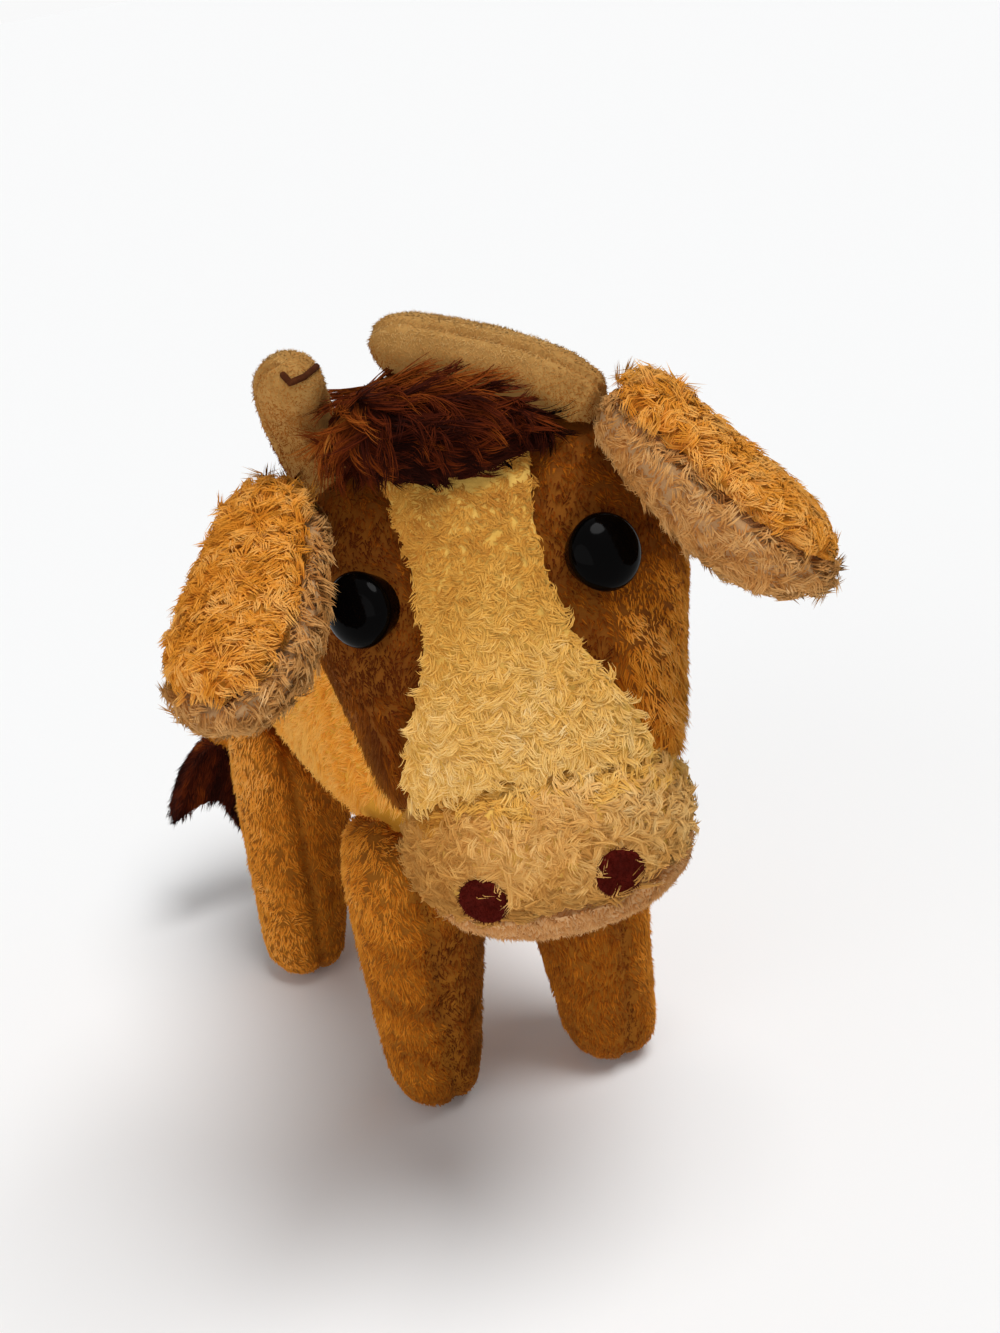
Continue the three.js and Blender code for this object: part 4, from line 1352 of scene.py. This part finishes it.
@dataclass
class Ear:
    """One floppy ear: a curly outer leaf and a fleecy lining. Its tones are those of the two leaves."""

    shop: Workshop
    side: str
    seed: int
    tones: tuple[float, float]
    leaf: Stuffing = Stuffing(1.3 * MM, slack=0.5 * MM, pressure=40.0, fill=0.5, relax=4)
    curly: Pile = Pile(
        spacing=1.3 * MM, strands=13, length=2.7 * MM, width=0.26 * MM, lean=0.7, bend=1.4,
        gather=0.4, stray=0.9, rings=2, curl=1.4, mottle=0.07, nod=0.35,
    )
    fleece: Pile = Pile(
        spacing=1.5 * MM, strands=10, length=3.4 * MM, width=0.34 * MM, lean=0.5, bend=1.5,
        gather=0.5, stray=1.0, rings=2, curl=1.5, mottle=0.07, nod=0.35,
    )
    close: float = 1.0 * MM
    swirl: float = 9 * MM
    root_reach: float = 10 * MM
    eye_gap: Span = Span(15 * MM, 9 * MM)

    def build(self) -> None:
        """Makes both leaves and grows their pile, which stands long over the root and short by the eye."""
        body, lining = f"ear_{self.side}", f"ear_lining_{self.side}"
        root, eye = self.shop.joints[f"{body}_flop"], centre_of(f"eye_{self.side}")
        tip = unit(centre_of(body) - root)
        swirl = Drift(self.swirl, self.seed)
        rooted = lambda places: hill(gap_to(places, [root]), self.root_reach)
        watched = lambda places: self.eye_gap(gap_to(places, [eye]))
        for node, coat, backing, pile, slot, level, more in (
            (body, Coat.CARAMEL, Backing.CARAMEL, self.curly, "caramel_plush", self.tones[0], 1.0),
            (lining, Coat.BEIGE, Backing.BEIGE, self.fleece, "beige_plush", self.tones[1], -0.5),
        ):
            seat = Seat(node, body, slot)
            cover = self.shop.cover(self.leaf, "cover", backing, seat)
            comb = lambda places: tip * (1 - 2 * max(more, 0) * rooted(places))[:, None] + 0.6 * swirl(places)
            tone = lambda places: level + 0.1 * swirl(places)[:, 0]
            trim = lambda places: (1 + more * rooted(places)) * (1 - 0.6 * watched(places))
            pelt = Pelt(f"{node}_pile", cover, pile, self.seed + len(node), self.close)
            self.shop.fur(pelt, Groom(comb, tone, trim), coat, seat)


@dataclass
class Forelock:
    """The long dark pile between the horns, combed to both sides of a parting."""

    shop: Workshop
    pose: HeadPose
    mound: Stuffing = Stuffing(1.5 * MM, slack=1.0 * MM, pressure=0.0, fill=0.4)
    pile: Pile = Pile(
        spacing=1.6 * MM, strands=10, length=9.5 * MM, width=0.25 * MM, lean=1.25, bend=0.3,
        gather=0.8, stray=0.25, rings=5, curl=1.0, wobble=0.05, crisp=0.4, mottle=0.16, nod=0.3,
    )
    swirl: float = 11 * MM
    parting: float = -13 * MM
    spread: float = 6 * MM
    left_horn: Span = Span(18 * MM, 10 * MM)
    right_end: Span = Span(-6 * MM, -18 * MM)
    upper: Span = Span(19 * MM, 5 * MM)
    fringe: Span = Span(10 * MM, 20 * MM)

    def build(self) -> None:
        """Makes the mound and its long pile."""
        seat = Seat("forelock", "head", "dark_pile")
        cover = self.shop.cover(self.mound, "mound", Backing.DARK, seat)
        pose, swirl = self.pose, Drift(self.swirl, seed=13)

        def sweep(places: np.ndarray) -> np.ndarray:
            """Gives how far the pile is combed to the cow's left, which stops short of the left horn."""
            across = pose.lateral(places)
            fan = np.clip((across - self.parting) / self.spread, -1, 1)
            return fan * (0.25 + 0.75 * self.left_horn(across))

        comb = lambda places: (
            0.9 * sweep(places)[:, None] * pose.side + 0.6 * pose.along + 0.5 * swirl(places)
        )
        tone = lambda places: (
            0.2
            + 0.26 * self.upper(pose.station(places))
            + 0.3 * self.right_end(pose.lateral(places))
            + 0.16 * swirl(places)[:, 1]
        )
        trim = lambda places: 1 - 0.62 * self.fringe(pose.station(places))
        pelt = Pelt("forelock_pile", cover, self.pile, seed=95)
        self.shop.fur(pelt, Groom(comb, tone, trim), Coat.DARK, seat)


@dataclass
class Tail:
    """The plush tail, whose end is tucked into its two-pointed tuft."""

    shop: Workshop
    cord: Stuffing = Stuffing(1.8 * MM, pressure=60.0, fill=0.7)
    fan: Stuffing = Stuffing(1.0 * MM, slack=0.5 * MM, pressure=0.0, fill=0.4, relax=2)
    short: Pile = Pile(
        spacing=1.35 * MM, strands=8, length=2.1 * MM, width=0.44 * MM,
        lean=1.15, bend=0.2, gather=0.4, stray=0.3, crisp=0.25,
    )
    brushed: Pile = Pile(
        spacing=1.3 * MM, strands=8, length=2.8 * MM, width=0.36 * MM,
        lean=1.3, bend=0.2, gather=0.4, stray=0.1, crisp=0.25,
    )
    swirl: float = 10 * MM
    tuck: float = 3 * MM
    tuck_reach: float = 6 * MM
    end_reach: float = 1.5 * MM

    def build(self) -> None:
        """Makes the tail and its tuft."""
        goal = centre_of("tail_tuft")
        down = unit(goal - self.shop.joints["tail_swing"])
        swirl = Drift(self.swirl, seed=17)
        seat = Seat("tail", "tail", "caramel_plush")
        cover = self.shop.cover(self.cord, "cover", Backing.CARAMEL, seat)
        points = vertices_of(cover)
        gap = gap_to(points, [goal])
        ahead = unit(goal - points[gap < gap.min() + self.end_reach].mean(0))
        tucked = self.tuck * Span(gap.min() + self.tuck_reach, gap.min())(gap)
        set_vertices(cover, points + tucked[:, None] * ahead)
        groom = Groom(lambda places: down + 0.4 * swirl(places), even(0.58))
        self.shop.fur(Pelt("tail_pile", cover, self.short, seed=101), groom, Coat.CARAMEL, seat)
        seat = Seat("tail_tuft", "tail", "dark_pile")
        core = self.shop.cover(self.fan, "core", Backing.DARK, seat)
        tone = lambda places: 0.35 + 0.22 * swirl(places)[:, 1]
        groom = Groom(lambda places: down + 0.15 * swirl(places), tone)
        self.shop.fur(Pelt("tail_tuft_pile", core, self.brushed, seed=103), groom, Coat.DARK, seat)


@dataclass(frozen=True)
class Lamp:
    """A far lamp: the way to it, how wide it looks, its power and whether it casts shadows."""

    name: str
    place: tuple[float, float, float]
    spread: float
    power: float
    casts: bool

    def build(self) -> None:
        """Hangs the lamp."""
        data = bpy.data.lights.new(self.name, "SUN")
        data.angle, data.energy, data.use_shadow = self.spread, self.power, self.casts
        lamp = bpy.data.objects.new(self.name, data)
        lamp.rotation_mode = "QUATERNION"
        lamp.rotation_quaternion = Vector(self.place).to_track_quat("Z", "Y")
        lamp.location = self.place
        bpy.context.scene.collection.objects.link(lamp)


@dataclass
class Studio:
    """Camera, floor and soft light."""

    image_width: float = 1000
    image_height: float = 1333
    focal_pixels: float = 1650
    target: tuple[float, float, float] = (9.89 * MM, -57.1 * MM, 105 * MM)
    azimuth: float = math.radians(-22.5)
    elevation: float = math.radians(24)
    roll: float = math.radians(10)
    distance: float = 285 * MM
    shift_right: float = -4 * MM
    shift_up: float = 6 * MM
    sensor: float = 36.0
    clip: tuple[float, float] = (0.01, 50.0)
    floor_size: float = 60.0
    floor_colour: tuple[float, float, float, float] = (0.886, 0.89, 0.892, 1)
    surround: float = 0.26
    backdrop: float = 0.95
    lamps: tuple[Lamp, ...] = (
        Lamp("key", (0.25, -0.32, 1.0), math.radians(32), 2.5, True),
        Lamp("fill", (-1.0, -0.55, 0.08), math.radians(80), 1.3, False),
    )
    axes: dict[str, np.ndarray] = field(default_factory=dict)

    def __post_init__(self) -> None:
        """Works out the camera's axes."""
        a, e = self.azimuth, self.elevation
        back = np.array([math.sin(a) * math.cos(e), -math.cos(a) * math.cos(e), math.sin(e)])
        right = np.array([math.cos(a), math.sin(a), 0.0])
        up = np.cross(back, right)
        place = np.array(self.target) + back * self.distance + right * self.shift_right + up * self.shift_up
        self.axes = {
            "back": back,
            "right": right * math.cos(self.roll) - up * math.sin(self.roll),
            "up": right * math.sin(self.roll) + up * math.cos(self.roll),
            "place": place,
        }

    def ray(self, across: float, down: float) -> tuple[Vector, Vector]:
        """Gives the camera's ray through a place in the photograph.

        Args:
            across: Pixels from the left edge.
            down: Pixels from the upper edge.

        Returns:
            Where the ray starts and its direction.
        """
        way = self.axes["right"] * (across - self.image_width / 2)
        way = way - self.axes["up"] * (down - self.image_height / 2) - self.axes["back"] * self.focal_pixels
        return Vector(self.axes["place"]), Vector(unit(way))

    def build_camera(self) -> None:
        """Sets the camera at the photograph's place."""
        data = bpy.data.cameras.new("camera")
        data.sensor_fit = "HORIZONTAL"
        data.sensor_width = self.sensor
        data.lens = self.focal_pixels / self.image_width * self.sensor
        data.clip_start, data.clip_end = self.clip
        camera = bpy.data.objects.new("camera", data)
        turned = np.stack([self.axes["right"], self.axes["up"], self.axes["back"]], 1)
        place = Matrix(turned.tolist()).to_4x4()
        place.translation = Vector(self.axes["place"])
        camera.matrix_world = place
        bpy.context.scene.collection.objects.link(camera)
        bpy.context.scene.camera = camera

    def build_floor(self) -> None:
        """Lays the pale floor."""
        bpy.ops.object.select_all(action="DESELECT")
        bpy.ops.mesh.primitive_plane_add(size=self.floor_size)
        floor = bpy.context.active_object
        floor.name = "floor"
        finish = Finish("floor_paper")
        finish.set(Base_Color=self.floor_colour, Roughness=0.95, Specular_IOR_Level=0.0)
        floor.data.materials.append(finish.material)

    def build_surround(self) -> None:
        """Sets the plain surroundings, which look brighter than the light that they give."""
        world = bpy.data.worlds.new("studio")
        bpy.context.scene.world = world
        world.use_nodes = True
        tree = world.node_tree
        ground = tree.nodes["Background"]
        ground.inputs["Color"].default_value = (1, 1, 1, 1)
        path = tree.nodes.new("ShaderNodeLightPath")
        seen = path.outputs["Is Camera Ray"]
        for ray in ("Is Glossy Ray", "Is Transmission Ray"):
            either = tree.nodes.new("ShaderNodeMath")
            either.operation = "MAXIMUM"
            tree.links.new(seen, either.inputs[0])
            tree.links.new(path.outputs[ray], either.inputs[1])
            seen = either.outputs["Value"]
        level = tree.nodes.new("ShaderNodeMapRange")
        level.inputs["To Min"].default_value = self.surround
        level.inputs["To Max"].default_value = self.backdrop
        tree.links.new(seen, level.inputs["Value"])
        tree.links.new(level.outputs["Result"], ground.inputs["Strength"])

    def build(self) -> None:
        """Builds the whole stage."""
        bpy.context.scene.view_settings.view_transform = "Standard"
        self.build_camera()
        self.build_floor()
        for lamp in self.lamps:
            lamp.build()
        self.build_surround()


def main() -> None:
    """Dresses the cow and sets the stage."""
    for stray in list(bpy.data.objects):
        bpy.data.objects.remove(stray)
    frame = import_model()
    studio = Studio()
    studio.build()
    shop = Workshop(frame)
    pose = HeadPose(shop.joints["head_turn"])
    Body(shop).build()
    for number, (place, tone) in enumerate(LEG_SHADE_TONES.items()):
        Leg(shop, place, number, tone).build()
    Head(shop, pose).build()
    Face(shop, pose).build()
    back, up, right = studio.axes["back"], studio.axes["up"], studio.axes["right"]
    right_felt = Horn(shop, pose, "right", seed=41, seam=unit(back - 0.9 * right)).build()
    Stitch(shop, studio).build(right_felt)
    Horn(shop, pose, "left", seed=43, seam=unit(back + 0.5 * up)).build()
    # The left ear's leaves are toned a little paler than the right ear's: painted light.
    Ear(shop, "right", seed=45, tones=(0.76, 0.46)).build()
    Ear(shop, "left", seed=55, tones=(0.8, 0.48)).build()
    Forelock(shop, pose).build()
    Tail(shop).build()
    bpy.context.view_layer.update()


if __name__ == "__main__":
    main()
